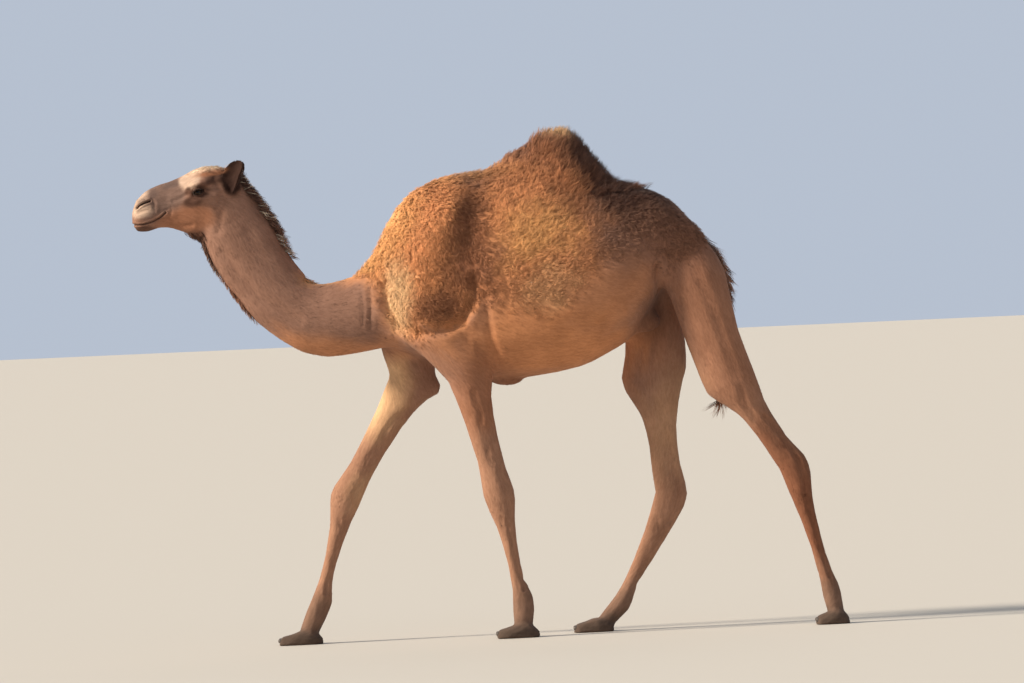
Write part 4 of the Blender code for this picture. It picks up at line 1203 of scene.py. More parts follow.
def walls(here: Array) -> Array:
    """The wall between rings of vertex numbers: two triangles from places i and i + 1 to the next ring."""
    beside = np.roll(here, -1, axis=1)
    one, two, three, four = here[:-1], beside[:-1], beside[1:], here[1:]
    halves = np.stack([one, two, three], -1), np.stack([one, three, four], -1)
    return np.concatenate(halves).reshape(-1, 3)


def turned_rings(radius: Array, across: Array, over: Array, height: Array) -> Array:
    """A profile carried round an axis: (radius * across, radius * over, height), ring by ring."""
    level = np.repeat(height[:, None], len(across), axis=1)
    return np.stack([radius[:, None] * across, radius[:, None] * over, level], axis=-1)


def closed_tube(rings: Array) -> tuple[Array, Array]:
    """A tube through rings of points, with a fan over each end.

    Args:
        rings: Points by ring, place on the ring and coordinate.

    Returns:
        Its points and triangles.
    """
    count, sides, _ = rings.shape
    ends = rings[[0, -1]].mean(axis=1)
    points = np.concatenate([rings.reshape(-1, 3), ends])
    here = np.arange(count * sides).reshape(count, sides)
    beside = np.roll(here, -1, axis=1)
    first = np.stack([beside[0], here[0], np.full(sides, count * sides)], -1)
    last = np.stack([here[-1], beside[-1], np.full(sides, count * sides + 1)], -1)
    return facing_out(points, np.concatenate([walls(here), first, last]))


def facing_out(points: Array, triangles: Array) -> tuple[Array, Array]:
    """The closed triangles, turned round if the volume inside them comes out negative."""
    corners = points[triangles]
    volume = np.einsum("ij,ij->i", corners[:, 0], np.cross(corners[:, 1], corners[:, 2])).sum()
    return points, triangles if volume > 0 else triangles[:, ::-1]


# ---- coat ----


@dataclass
class Roots:
    """Where strands grow.

    Attributes:
        points: Places on the skin.
        normals: Outward directions there.
        uvs: The places on the skin's unwrap.
    """

    points: Array
    normals: Array
    uvs: Array


class Scalp:
    """A lighter copy of the skin with an unwrap, on which roots are sown."""

    triangles = 26_000
    seam_angle = 66.0
    batches = 12

    def __init__(self, skin: Object) -> None:
        """Copies, thins and unwraps the skin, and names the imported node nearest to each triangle.

        Args:
            skin: The finished skin.
        """
        self.skin = skin
        copy = linked("scalp", skin.data.copy())
        ratio = self.triangles / len(read_triangles(copy.data))
        modify(copy, "DECIMATE", ratio=ratio, use_collapse_triangulate=True)
        bpy.ops.object.select_all(action="DESELECT")
        bpy.context.view_layer.objects.active = copy
        copy.select_set(True)
        bpy.ops.object.mode_set(mode="EDIT")
        bpy.ops.mesh.select_all(action="SELECT")
        bpy.ops.uv.smart_project(angle_limit=math.radians(self.seam_angle), island_margin=0.002)
        bpy.ops.object.mode_set(mode="OBJECT")
        mesh = copy.data
        faces = read_triangles(mesh)
        uvs = fetch(mesh.uv_layers.active.data, "uv", 2, np.float32)
        self.corners = read_points(mesh)[faces]
        self.normals = read_normals(mesh)[faces]
        self.uvs = uvs[read_triangles(mesh, "loops")].astype(float)
        self.middles = self.corners.mean(axis=1)
        one, two = (self.corners[:, corner] - self.corners[:, 0] for corner in (1, 2))
        self.areas = np.linalg.norm(np.cross(one, two), axis=1) / 2.0
        self.names = self.nearest_nodes()
        bpy.data.objects.remove(copy)

    def nearest_nodes(self) -> Array:
        """The name of the flesh node nearest to each triangle.

        The nearest is the least |a|^2 - 2ab + |b|^2 over the nodes' vertices and the middles of their
        triangles, where |b|^2 is the triangle's own and is left out.
        """
        clouds = []
        for name in FLESH:
            points = node_points(name)
            faces = read_triangles(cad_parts[name].data)
            clouds.append(np.concatenate([points, points[faces].mean(axis=1)]))
        owner = np.repeat(np.arange(len(FLESH)), [len(cloud) for cloud in clouds])
        cloud = np.concatenate(clouds)
        squares = (cloud**2).sum(axis=1)
        nearest = [
            owner[(squares[None, :] - 2.0 * part @ cloud.T).argmin(axis=1)]
            for part in np.array_split(self.middles, self.batches)
        ]
        return np.array(FLESH)[np.concatenate(nearest)]

    def share_of(self, names: Iterable[str]) -> Array:
        """1 on the triangles that belong to the named nodes, 0 elsewhere."""
        return np.isin(self.names, list(names)).astype(float)

    def settled(self, points: Array) -> Array:
        """The points brought onto the nearest place of the full skin, by Shrinkwrap."""
        cloud = object_from("cloud", points, np.zeros((0, 3), int))
        modify(cloud, "SHRINKWRAP", target=self.skin, wrap_method="NEAREST_SURFACEPOINT")
        found = read_points(cloud.data)
        bpy.data.objects.remove(cloud)
        return found

    def sow(self, weight: Array, count: int, rng: np.random.Generator) -> Roots:
        """Roots at random, as thick as the weight says.

        Args:
            weight: Density on each triangle.
            count: How many roots.
            rng: The seeded source of chance.

        Returns:
            The roots, at random places within their triangles.
        """
        chance = weight * self.areas
        chosen = rng.choice(len(chance), size=count, p=chance / chance.sum())
        one, two = rng.random(count), rng.random(count)
        fold = one + two > 1.0
        one, two = np.where(fold, 1.0 - one, one), np.where(fold, 1.0 - two, two)
        shares = np.stack([1.0 - one - two, one, two], axis=1)
        tables = (self.corners, self.normals, self.uvs)
        places, normals, uvs = (np.einsum("nk,nkc->nc", shares, corners[chosen]) for corners in tables)
        return Roots(self.settled(places), unit(normals), uvs)


@dataclass(frozen=True)
class Cut:
    """How one kind of hair is made.

    Attributes:
        length: Shortest and longest, in mm.
        width: Width at the thickest place, in mm.
        lift: Degrees above the skin at the root and at the tip.
        curl: Sideways swing, as a share of the length.
        turns: Turns of the curl.
        strands: Strands in a lock.
        spread: How far apart a lock's strands root, in mm.
        pinch: How far they draw together towards their tips, 0 to 1.
        rings: Rings along a strand.
        stray: How far the way of each lock strays, in degrees.
        tip: How much lighter the tip is than the middle: partly paler tips, partly a painted highlight.
        root: How dark the root is: painted shade deep in the coat.
        fleck: Unevenness of tint between locks.
        frost: Share of the locks that are pale.
        soft: How far their shading follows the skin under them, 0 to 1.
        sink: How deep they root, in mm.
        thick: Thickness as a share of the width.
    """

    length: tuple[float, float]
    width: float
    lift: tuple[float, float]
    curl: float = 0.0
    turns: float = 0.0
    strands: int = 1
    spread: float = 0.0
    pinch: float = 0.0
    rings: int = 2
    stray: float = 12.0
    tip: float = 1.15
    root: float = 0.72
    fleck: float = 0.12
    frost: float = 0.0
    soft: float = 0.50
    sink: float = 1.5
    thick: float = 0.50


class Hair(Enum):
    """The kinds of hair on the animal."""

    WOOL = Cut((24, 36), 2.9, (50, 2), 0.17, 0.8, 4, 4.6, 0.5, 2, 30, 1.15, 0.8, 0.12, 0, 0.6)
    CREST = Cut((46, 70), 2.8, (64, 40), 0.06, 0.7, 4, 6, 0.4, 3, 14, 1.2, 0.8, 0.12, 0, 0.55)
    BACK = Cut((40, 66), 2.8, (56, 26), 0.08, 0.9, 4, 5, 0.4, 3, 20, 1.2, 0.8, 0.14, 0, 0.55)
    MANE = Cut((32, 52), 2.8, (56, 18), 0.12, 0.8, 4, 4.5, 0.5, 3, 20, 1.3, 0.8, 0.14, 0.14)
    FRINGE = Cut((16, 30), 2.3, (46, 12), 0.1, 0.8, 4, 4, 0.4, 3, 24, 1.2, 0.8, 0.14)
    SHORT = Cut((16, 24), 2.6, (5, -1), 0.03, 0.5, 1, 0, 0, 2, 12, 1.08, 0.98, 0.05, 0, 0.88, 0.5, 0.22)
    FINE = Cut((12, 18), 2.2, (5, -1), 0.02, 0.5, 1, 0, 0, 2, 8, 1.06, 0.98, 0.04, 0, 0.88, 0.4, 0.22)
    FACE = Cut((6, 10), 1.2, (6, -2), 0.02, 0.5, 1, 0, 0, 2, 9, 1.06, 0.98, 0.04, 0, 0.88, 0.25, 0.22)
    CROWN = Cut((9, 16), 1.4, (30, 6), 0.16, 0.8, 4, 3.4, 0.4, 2, 26, 1.15, 0.97, 0.2, 0, 0.4)
    TAIL = Cut((45, 95), 2.6, (26, 2), 0.05, 0.7, 4, 4, 0.4, 4, 14, 1.15, 0.8, 0.16)
    LASH = Cut((20, 27), 0.9, (22, -50), 0, 0, 1, 0, 0, 4, 7, 1, 1, 0)
    LOWER_LASH = Cut((7, 11), 0.7, (20, -10), 0, 0, 1, 0, 0, 2, 9, 1, 1, 0)


class Strands:
    """Solid tapering strands from arrays: three-sided, closed at the root, drawn to a point at the tip.

    Attributes:
        sides: Of each strand.
        patch: How broad a strand's patch is, as a share of the unwrap.
        margin: How far the strands stay inside the box of the solids.
    """

    sides = 3
    patch = 0.003
    margin = 2.0 * MM

    def __init__(
        self, cut: Cut, roots: Roots, ways: Array, tints: Array, size: Array, rng: np.random.Generator
    ) -> None:
        """Grows the locks.

        Args:
            cut: The kind of hair.
            roots: Where each lock grows.
            ways: The lie of the hair at each root.
            tints: The colour at each root.
            size: Length of each lock as a share of the cut's own.
            rng: The seeded source of chance.
        """
        self.cut = cut
        locks = len(roots.points)
        stray = np.radians(rng.normal(0.0, cut.stray, locks))
        side = np.cross(roots.normals, ways)
        ways = ways * np.cos(stray)[:, None] + side * np.sin(stray)[:, None]
        length = rng.uniform(cut.length[0] * MM, cut.length[1] * MM, locks) * size
        phase = rng.uniform(0.0, 2.0 * math.pi, locks)
        shade = 1.0 + cut.fleck * rng.normal(0.0, 1.0, locks)
        copies = np.repeat(np.arange(locks), cut.strands)
        count = len(copies)
        many = cut.strands > 1
        side = unit(np.cross(roots.normals, ways))
        shift = rng.normal(0.0, cut.spread * MM, (count, 2)) if many else np.zeros((count, 2))
        self.count = count
        self.normal = roots.normals[copies]
        self.way = ways[copies]
        self.side = side[copies]
        self.root = roots.points[copies] + self.way * shift[:, :1] + self.side * shift[:, 1:]
        self.uv = roots.uvs[copies]
        self.length = length[copies] * rng.uniform(0.85, 1.12, count)
        self.phase = phase[copies] + rng.normal(0.0, 0.35, count)
        self.lift = rng.normal(0.0, 4.0 if many else 2.0, count)
        tints = tints * shade[:, None]
        pale = rng.random(locks) < cut.frost
        tints[pale] = Tint.FROST
        self.tint = np.clip(tints, 0.0, 0.9)[copies]
        self.width = cut.width * MM * rng.uniform(0.8, 1.2, count)
        self.gather = -cut.pinch * (self.way * shift[:, :1] + self.side * shift[:, 1:])

    def line(self) -> tuple[Array, Array]:
        """The middle line of each strand, and the direction across its thin way.

        The line starts at the lift above the skin and bends evenly to the tip's, in equal steps of
        length. The curl adds side * a * (sin(p + 2 pi n t) - sin p) and as much of the cosine along the
        normal, where a grows with t, and the lock's strands gather by t^2. A strand that would leave the
        box of the solids is shortened.
        """
        steps = self.cut.rings
        share = np.linspace(0.0, 1.0, steps + 1)
        first, last = self.cut.lift
        middle = (share[1:] + share[:-1]) / 2.0
        angle = np.radians(first + (last - first) * middle[None, :] + self.lift[:, None])[..., None]
        step = np.cos(angle) * self.way[:, None, :] + np.sin(angle) * self.normal[:, None, :]
        step = step * (self.length / steps)[:, None, None]
        line = np.concatenate([np.zeros((self.count, 1, 3)), np.cumsum(step, axis=1)], axis=1)
        swing = self.phase[:, None] + 2.0 * math.pi * self.cut.turns * share[None, :]
        reach = self.cut.curl * self.length[:, None] * (0.35 + 0.65 * share[None, :])
        sway = reach * (np.sin(swing) - np.sin(self.phase)[:, None])
        bob = np.maximum(0.5 * reach * (np.cos(swing) - np.cos(self.phase)[:, None]), -0.3 * reach)
        line = line + sway[..., None] * self.side[:, None, :] + bob[..., None] * self.normal[:, None, :]
        line = line + share[None, :, None] ** 2 * self.gather[:, None, :]
        root = self.root - self.cut.sink * MM * self.normal
        low, high = np.array(CAD_BOX[0]) + self.margin, np.array(CAD_BOX[1]) - self.margin
        ahead, behind = np.maximum(line.max(axis=1), 1e-6), np.maximum(-line.min(axis=1), 1e-6)
        room = np.minimum((high - root) / ahead, (root - low) / behind)
        line = line * np.clip(room.min(axis=1), 0.1, 1.0)[:, None, None] + root[:, None, :]
        along = unit(np.gradient(line, axis=1))
        return line, unit(np.cross(along, self.side[:, None, :]))

    def mesh(self, name: str) -> Object:
        """The strands as one object, with a tint at each vertex and a patch of the unwrap for each.

        A ring's points stand at width / 2 * profile * (cos a * side + thick * sin a * over). The profile is
        1 - 0.7 t^2, and 0.8 at the root, and ends in the tip.

        Args:
            name: The piece's name.

        Returns:
            The object.
        """
        line, over = self.line()
        rings, sides = self.cut.rings, self.sides
        share = np.linspace(0.0, 1.0, rings + 1)
        profile = (1.0 - 0.7 * share[:-1] ** 2) * np.where(share[:-1] == 0.0, 0.8, 1.0)
        turn = 2.0 * math.pi * np.arange(sides) / sides + math.pi / 2.0
        half = (0.5 * self.width[:, None] * profile[None, :])[..., None, None]
        flat = half * np.cos(turn)[None, None, :, None] * self.side[:, None, None, :]
        tall = half * self.cut.thick * np.sin(turn)[None, None, :, None] * over[:, :-1, None, :]
        body = line[:, :-1, None, :] + flat + tall
        points = np.concatenate([body.reshape(self.count, rings * sides, 3), line[:, -1:, :]], axis=1)
        faces = self.faces()
        per = rings * sides + 1
        all_faces = (np.arange(self.count) * per)[:, None, None] + faces[None]
        made = object_from(name, points.reshape(-1, 3), self.turned(points, faces, all_faces))
        under = np.repeat(self.normal, per, axis=0)
        shading = unit(self.cut.soft * under + (1.0 - self.cut.soft) * read_normals(made.data))
        made.data.normals_split_custom_set_from_vertices(shading)
        self.colour(made.data, share)
        self.unwrap(made.data, share)
        return made

    def faces(self) -> Array:
        """The triangles of one strand: the root's end, the walls between rings, and the tip."""
        rings, sides = self.cut.rings, self.sides
        here = np.arange(rings * sides).reshape(rings, sides)
        tip = np.stack([here[-1], np.roll(here[-1], -1), np.full(sides, rings * sides)], -1)
        return np.concatenate([[[0, 2, 1]], walls(here), tip])

    @staticmethod
    def turned(points: Array, faces: Array, all_faces: Array) -> Array:
        """Every strand's faces, turned where that strand's own volume comes out negative."""
        middle = points.mean(axis=1, keepdims=True)
        corners = (points - middle)[:, faces]
        volume = np.einsum("nfc,nfc->n", corners[:, :, 0], np.cross(corners[:, :, 1], corners[:, :, 2]))
        flipped = np.where((volume < 0)[:, None, None], all_faces[..., ::-1], all_faces)
        return flipped.reshape(-1, 3)

    def colour(self, mesh: Mesh, share: Array) -> None:
        """Tints each vertex: a darker root, which is painted shade deep in the coat, to full by the middle,
        then towards the lighter tip, which is partly a painted highlight.
        """
        cut = self.cut
        tone = np.interp(share, [0.0, 0.45, 1.0], [cut.root, 1.0, cut.tip])
        tone = np.append(np.repeat(tone[:-1], self.sides), tone[-1])
        tints = np.clip(self.tint[:, None, :] * tone[None, :, None], 0.0, 0.95).reshape(-1, 3)
        paint_tint(mesh, tints)

    def unwrap(self, mesh: Mesh, share: Array) -> None:
        """The patch of each strand on the skin's unwrap: across it sideways, and root to tip upwards."""
        across = np.append(np.tile(np.arange(self.sides) / (self.sides - 1) - 0.5, len(share) - 1), 0.0)
        along = np.append(np.repeat(share[:-1], self.sides), 1.0) - 0.5
        patch = np.stack([across, along], axis=1) * self.patch
        uvs = np.clip(self.uv[:, None, :] + patch[None], 0.0, 1.0).reshape(-1, 2)
        layer = mesh.uv_layers.new(name="OFBake")
        loops = fetch(mesh.loops, "vertex_index", 1)[:, 0]
        layer.data.foreach_set("uv", uvs[loops].astype(np.float32).ravel())


@dataclass(frozen=True)
class Piece:
    """One piece of the coat.

    Attributes:
        name: The piece's name.
        hair: Its kind of hair.
        locks: How many locks it has.
        nodes: The nodes that it grows over.
        slot: The name of its finish's slot.
        side: Only this side of the body, or both if 0.
        woolly: 1 where it grows only on the wool, -1 only off it, 0 on both.
        on: Patches that it grows on, or all if there are none.
        off: Patches that it doesn't grow on.
    """

    name: str
    hair: Hair
    locks: int
    nodes: tuple[str, ...]
    slot: str
    side: float = 0.0
    woolly: float = 0.0
    on: tuple[Patch, ...] = ()
    off: tuple[Patch, ...] = ()


FORELEGS = tuple(name for side in SIDES for name in leg_nodes("foreleg", side))
HINDLEGS = tuple(name for side in SIDES for name in leg_nodes("hindleg", side))
CREST_PATCHES = (
    Patch("hump", 0.685, 0.72, 0, (0.14, 0.1, 0.08), 0, 0.3),
    Patch("hump", 0.889, 0.294, 0, (0.07, 0.1, 0.12), -20, 0.3),
)
BACK_PATCHES = (
    Patch("barrel", 0.93, 0.875, 0, (0.2, 0.12, 0.05), -14, 0.3),
    Patch("barrel", 0.652, 0.953, 0.05, (0.12, 0.1, 0.13), -14, 0.3),
)
PIECES = (
    *(
        Piece(f"wool_{part}_{side}", Hair.WOOL, 4250, nodes, "brown_wool", sign, 1, (), off)
        for part, nodes, off in (
            ("shoulder", ("shoulders", "neck_lower"), ()), ("barrel", ("barrel", "hump"), CREST_PATCHES)
        )
        for side, sign in SIDES.items()
    ),
    Piece("wool_crest", Hair.CREST, 1150, ("barrel", "hump"), "dark_wool", on=CREST_PATCHES),
    Piece("wool_back", Hair.BACK, 1350, ("barrel", "hump", "rump"), "dark_wool", on=BACK_PATCHES),
    Piece("wool_rump", Hair.WOOL, 2950, ("rump",), "dark_wool", woolly=1),
    Piece("mane", Hair.MANE, 620, ("neck_upper", "neck_lower", "head"), "dark_wool",
          on=(Patch("neck_upper", 0.615, 0.738, 0, (0.04, 0.022, 0.24), -26, 0.3),)),
    Piece("crown_tuft", Hair.CROWN, 460, ("head",), "pale_coat",
          on=(Patch("head", 0.696, 0.936, 0, (0.085, 0.055, 0.03), -8, 0.3),)),
    Piece("throat_fringe", Hair.FRINGE, 560, ("neck_upper", "neck_lower", "head"), "dark_wool",
          on=(Patch("neck_upper", 0.01, 0.49, 0, (0.034, 0.022, 0.16), -18, 0.3),
              Patch("neck_upper", 0.287, 0.159, 0, (0.04, 0.018, 0.14), -42, 0.3),
              Patch("head", 0.565, 0.058, 0, (0.07, 0.04, 0.02), -14, 0.3))),
    Piece("tail_hair", Hair.TAIL, 950, ("tail",), "dark_wool"),
    Piece("fur_trunk", Hair.SHORT, 8500, ("shoulders", "barrel", "rump", "chest_pad"), "tan_coat",
          woolly=-1),
    Piece("fur_neck", Hair.SHORT, 6000, NECK, "tan_coat", woolly=-1),
    Piece("fur_forelegs", Hair.FINE, 6000, FORELEGS, "tan_coat"),
    Piece("fur_hindlegs", Hair.FINE, 7000, HINDLEGS, "tan_coat"),
    Piece("fur_head", Hair.FACE, 9500, ("head", *EARS), "pale_coat",
          off=(*EYES, NOSTRIL, MOUTH, Patch("head", 0.363, 0.559, 0.07, (0.014, 0.05, 0.012), 0, 0.1))),
)


@dataclass
class CoatMaker:
    """Grows every piece of the coat over the scalp.

    Attributes:
        scalp: Where roots are sown.
        coat: The coat's markings and wool.
        lie: The lie of the hair.
        seed: Start of the random numbers.
        lash_count: Upper and lower lashes of each eye.
        bare_sole: Nothing grows below this height.
    """

    scalp: Scalp
    coat: Coat
    lie: Lie
    seed: int = 11
    lash_count: tuple[int, int] = (64, 30)
    bare_sole: float = 6.0 * MM

    def weight(self, piece: Piece) -> Array:
        """How thickly the piece's locks stand on each triangle of the scalp."""
        middles = self.scalp.middles
        weight = self.scalp.share_of(piece.nodes)
        wool = self.coat.wool.at(middles)
        if piece.woolly:
            weight = weight * (wool if piece.woolly > 0 else 1.0 - wool)
        if piece.side:
            weight = weight * (middles[:, 1] * piece.side > 0)
        if piece.on:
            weight = weight * np.max([patch.mask(middles) for patch in piece.on], axis=0)
        for patch in piece.off:
            weight = weight * (1.0 - patch.mask(middles))
        return weight * (middles[:, 2] > self.bare_sole)

    def grow(self, piece: Piece) -> Object:
        """Grows one piece of the coat.

        Args:
            piece: What it is.

        Returns:
            The object.
        """
        rng = np.random.default_rng(self.seed + 7 * PIECES.index(piece))
        roots = self.scalp.sow(self.weight(piece), piece.locks, rng)
        ways = self.lie.at(roots.points, roots.normals)
        tints = self.coat.markings.at(roots.points)
        size = 1.0 - 0.45 * Band(0.16, 0.10).mask(roots.points)
        if piece.woolly > 0:
            size = size * (0.40 + 0.60 * self.coat.wool.at(roots.points))
        if piece.hair is Hair.FACE:
            lids = np.min([np.linalg.norm(roots.points - eye.centre, axis=1) for eye in EYES], axis=0)
            size = size * (0.45 + 0.55 * smooth((lids - 0.025) / 0.025))
        strands = Strands(piece.hair.value, roots, ways, tints, size, rng)
        return strands.mesh(piece.name)

    def lashes(self, upper: bool) -> Object:
        """The upper or the lower lashes of both eyes as one piece."""
        rng = np.random.default_rng(self.seed)
        count = self.lash_count[0 if upper else 1]
        parts = [eye.lash_roots(count, upper) for eye in EYES]
        points, normals, ways = (np.concatenate(group) for group in zip(*parts))
        nearest = ((self.scalp.middles[None] - points[:, None]) ** 2).sum(axis=2).argmin(axis=1)
        roots = Roots(points, normals, self.scalp.uvs[nearest].mean(axis=1))
        tints = np.repeat([Tint.BLACK], len(points), axis=0)
        hair = Hair.LASH if upper else Hair.LOWER_LASH
        strands = Strands(hair.value, roots, ways, tints, np.ones(len(points)), rng)
        return strands.mesh("upper_lashes" if upper else "lower_lashes")


# ---- finishes ----


def arithmetic(operation: str, flipped: bool = False) -> Callable[["Wire", Any], "Wire"]:
    """An operator of Wire, as a Math node, with the wire as the second value where it is flipped."""

    def operator(wire: "Wire", other: Any) -> "Wire":
        """The Math node on the wire and the other value."""
        pair = {0: other, 1: wire} if flipped else {0: wire, 1: other}
        return wire.tree.node("ShaderNodeMath", {"operation": operation}, pair)

    return operator


@dataclass
class Wire:
    """A value in a node tree. Arithmetic on it adds Math nodes.

    Attributes:
        tree: The tree that it is in.
        socket: The output socket that gives it.
    """

    tree: "Tree"
    socket: Any

    __add__, __radd__ = arithmetic("ADD"), arithmetic("ADD", True)
    __sub__, __rsub__ = arithmetic("SUBTRACT"), arithmetic("SUBTRACT", True)
    __mul__, __rmul__ = arithmetic("MULTIPLY"), arithmetic("MULTIPLY", True)


class Tree:
    """A material's node tree, with one way to add a node."""

    def __init__(self, name: str, kind: Any = bpy.data.materials) -> None:
        """Starts a material, or a world, with only its own shader."""
        self.owner = kind.new(name)
        self.owner.use_nodes = True
        self.nodes = self.owner.node_tree.nodes
        self.links = self.owner.node_tree.links
        self.shader = next(node for node in self.nodes if node.type in ("BSDF_PRINCIPLED", "BACKGROUND"))

    def put(self, socket: Any, value: Any) -> None:
        """Links a wire to a socket, or sets the socket's own value."""
        if isinstance(value, Wire):
            self.links.new(value.socket, socket)
        else:
            socket.default_value = value

    def finish(self, inputs: dict[str, Any]) -> Any:
        """Gives the shader its inputs, and returns the material or world."""
        for name, value in inputs.items():
            self.put(self.shader.inputs[name], value)
        return self.owner

    def node(self, kind: str, settings: dict[str, Any], inputs: dict[Any, Any], output: Any = 0) -> Wire:
        """Adds a node.

        Args:
            kind: The node's type.
            settings: Its own settings, which are set first. A ramp's stops go under the key stops.
            inputs: Values or wires by socket.
            output: Which of its outputs is returned.

        Returns:
            The wire of that output.
        """
        made = self.nodes.new(kind)
        for key, value in settings.items():
            if key == "stops":
                self.set_ramp(made.color_ramp, value)
            else:
                setattr(made, key, value)
        for key, value in inputs.items():
            self.put(made.inputs[key], value)
        return Wire(self, made.outputs[output])

    @staticmethod
    def set_ramp(ramp: Any, stops: Sequence[tuple[float, Sequence[float]]]) -> None:
        """Gives a colour ramp its stops."""
        while len(ramp.elements) < len(stops):
            ramp.elements.new(0.5)
        for element, (place, colour) in zip(ramp.elements, stops):
            element.position = place
            element.color = colour

    def attribute(self, name: str, output: str = "Color") -> Wire:
        """What the piece's attribute says."""
        return self.node("ShaderNodeAttribute", {"attribute_name": name}, {}, output)

    def places(self) -> Wire:
        """The piece's own coordinates."""
        return self.node("ShaderNodeTexCoord", {}, {}, "Object")

    def noise(self, where: Wire, scale: float, detail: float) -> Wire:
        """Noise from 0 to 1 at a scale per metre."""
        return self.node("ShaderNodeTexNoise", {}, {"Vector": where, "Scale": scale, "Detail": detail}, "Fac")

    def vector(self, operation: str, inputs: dict[Any, Any], output: Any = 0) -> Wire:
        """A Vector Math node."""
        return self.node("ShaderNodeVectorMath", {"operation": operation}, inputs, output)

    def shifted(self, where: Wire, way: Wire, length: float) -> Wire:
        """The place moved a length along a way."""
        return self.vector("ADD", {0: where, 1: self.vector("SCALE", {0: way, "Scale": length})})

    def mixed(self, share: Any, one: Any, two: Any, blend: str = "MIX") -> Wire:
        """Two colours mixed by a share."""
        settings = {"data_type": "RGBA", "blend_type": blend}
        return self.node("ShaderNodeMix", settings, {0: share, 6: one, 7: two}, 2)

    def tinted(self, share: Wire, dark: Colour, light: Colour) -> Wire:
        """The piece's tint, multiplied by a colour between a dark one and a light one."""
        tint = self.attribute("tint")
        ends = (self.mixed(1.0, tint, (*colour, 1.0), "MULTIPLY") for colour in (dark, light))
        return self.mixed(share, *ends)

    def ramp(self, value: Wire, low: float, high: float) -> Wire:
        """The value stretched so that low becomes 0 and high becomes 1, and held there."""
        inputs = {"Value": value, "From Min": low, "From Max": high}
        return self.node("ShaderNodeMapRange", {"clamp": True}, inputs, "Result")

    def bump(self, height: Wire, strength: float, distance: float) -> Wire:
        """A bump for the Normal socket."""
        inputs = {"Height": height, "Strength": strength, "Distance": distance}
        return self.node("ShaderNodeBump", {}, inputs, "Normal")


@dataclass(frozen=True)
class Hide:
    """Short flat fur, drawn on the skin: fine streaks and broad ones along the lie of the hair.

    Attributes:
        fine: Fine streaks per metre across the hair.
        broad: Broad streaks per metre.
        contrast: How much the streaks change the colour.
        depth: Height of the fur's relief.
    """

    fine: float = 430.0
    broad: float = 100.0
    contrast: float = 0.35
    depth: float = 0.9 * MM

    def streaks(self, tree: Tree, scale: float, count: int) -> Wire:
        """Streaks: the mean of noises read at steps of half a noise's size along the lie of the hair."""
        where, lie = tree.places(), tree.attribute("lie", "Vector")
        total = tree.noise(where, scale, 1.0)
        for step in range(1, count):
            total = total + tree.noise(tree.shifted(where, lie, step * 0.45 / scale), scale, 1.0)
        return tree.ramp(total * (1.0 / count), 0.42, 0.58)

    def material(self) -> bpy.types.Material:
        """The markings, varied by both streaks and by slow blotches, over a soft relief."""
        tree = Tree("hide")
        where = tree.places()
        fine, broad = self.streaks(tree, self.fine, 9), self.streaks(tree, self.broad, 5)
        blotch = tree.ramp(tree.noise(where, 9.0, 3.0), 0.3, 0.7)
        share = (fine + broad) * self.contrast * 0.8 + blotch * 0.44
        return tree.finish({
            "Base Color": tree.tinted(share, (0.74, 0.70, 0.68), (1.22, 1.22, 1.22)),
            "Roughness": 0.92 - 0.12 * fine,
            "Normal": tree.bump(fine * 0.35 + broad, 0.5, self.depth),
            "Specular IOR Level": 0.14,
            "Sheen Weight": 0.03,
            "Sheen Roughness": 0.5,
        })


@dataclass(frozen=True)
class Fibre:
    """The finish of the strands.

    Attributes:
        name: The material's name.
        rough: Roughness.
        sheen: Weight of the sheen.
        across: Fibres across a strand's patch of the unwrap.
    """

    name: str
    rough: float
    sheen: float
    across: float = 6.0

    def material(self) -> bpy.types.Material:
        """The tint of each strand, with fibres drawn along it and a slow change over the body."""
        tree = Tree(self.name)
        unwrap = tree.node("ShaderNodeUVMap", {"uv_map": "OFBake"}, {}, "UV")
        stretch = (self.across / Strands.patch, 0.8 / Strands.patch, 1.0)
        fine = tree.vector("MULTIPLY", {0: unwrap, 1: stretch})
        fibre = tree.ramp(tree.noise(fine, 1.0, 1.0), 0.3, 0.7)
        slow = tree.ramp(tree.noise(tree.places(), 22.0, 2.0), 0.3, 0.7)
        return tree.finish({
            "Base Color": tree.tinted(fibre * 0.5 + slow * 0.5, (0.76, 0.73, 0.70), (1.20, 1.18, 1.16)),
            "Roughness": self.rough - 0.15 * fibre,
            "Normal": tree.bump(fibre, 0.3, 0.4 * MM),
            "Specular IOR Level": 0.18,
            "Sheen Weight": self.sheen,
            "Sheen Roughness": 0.45,
        })


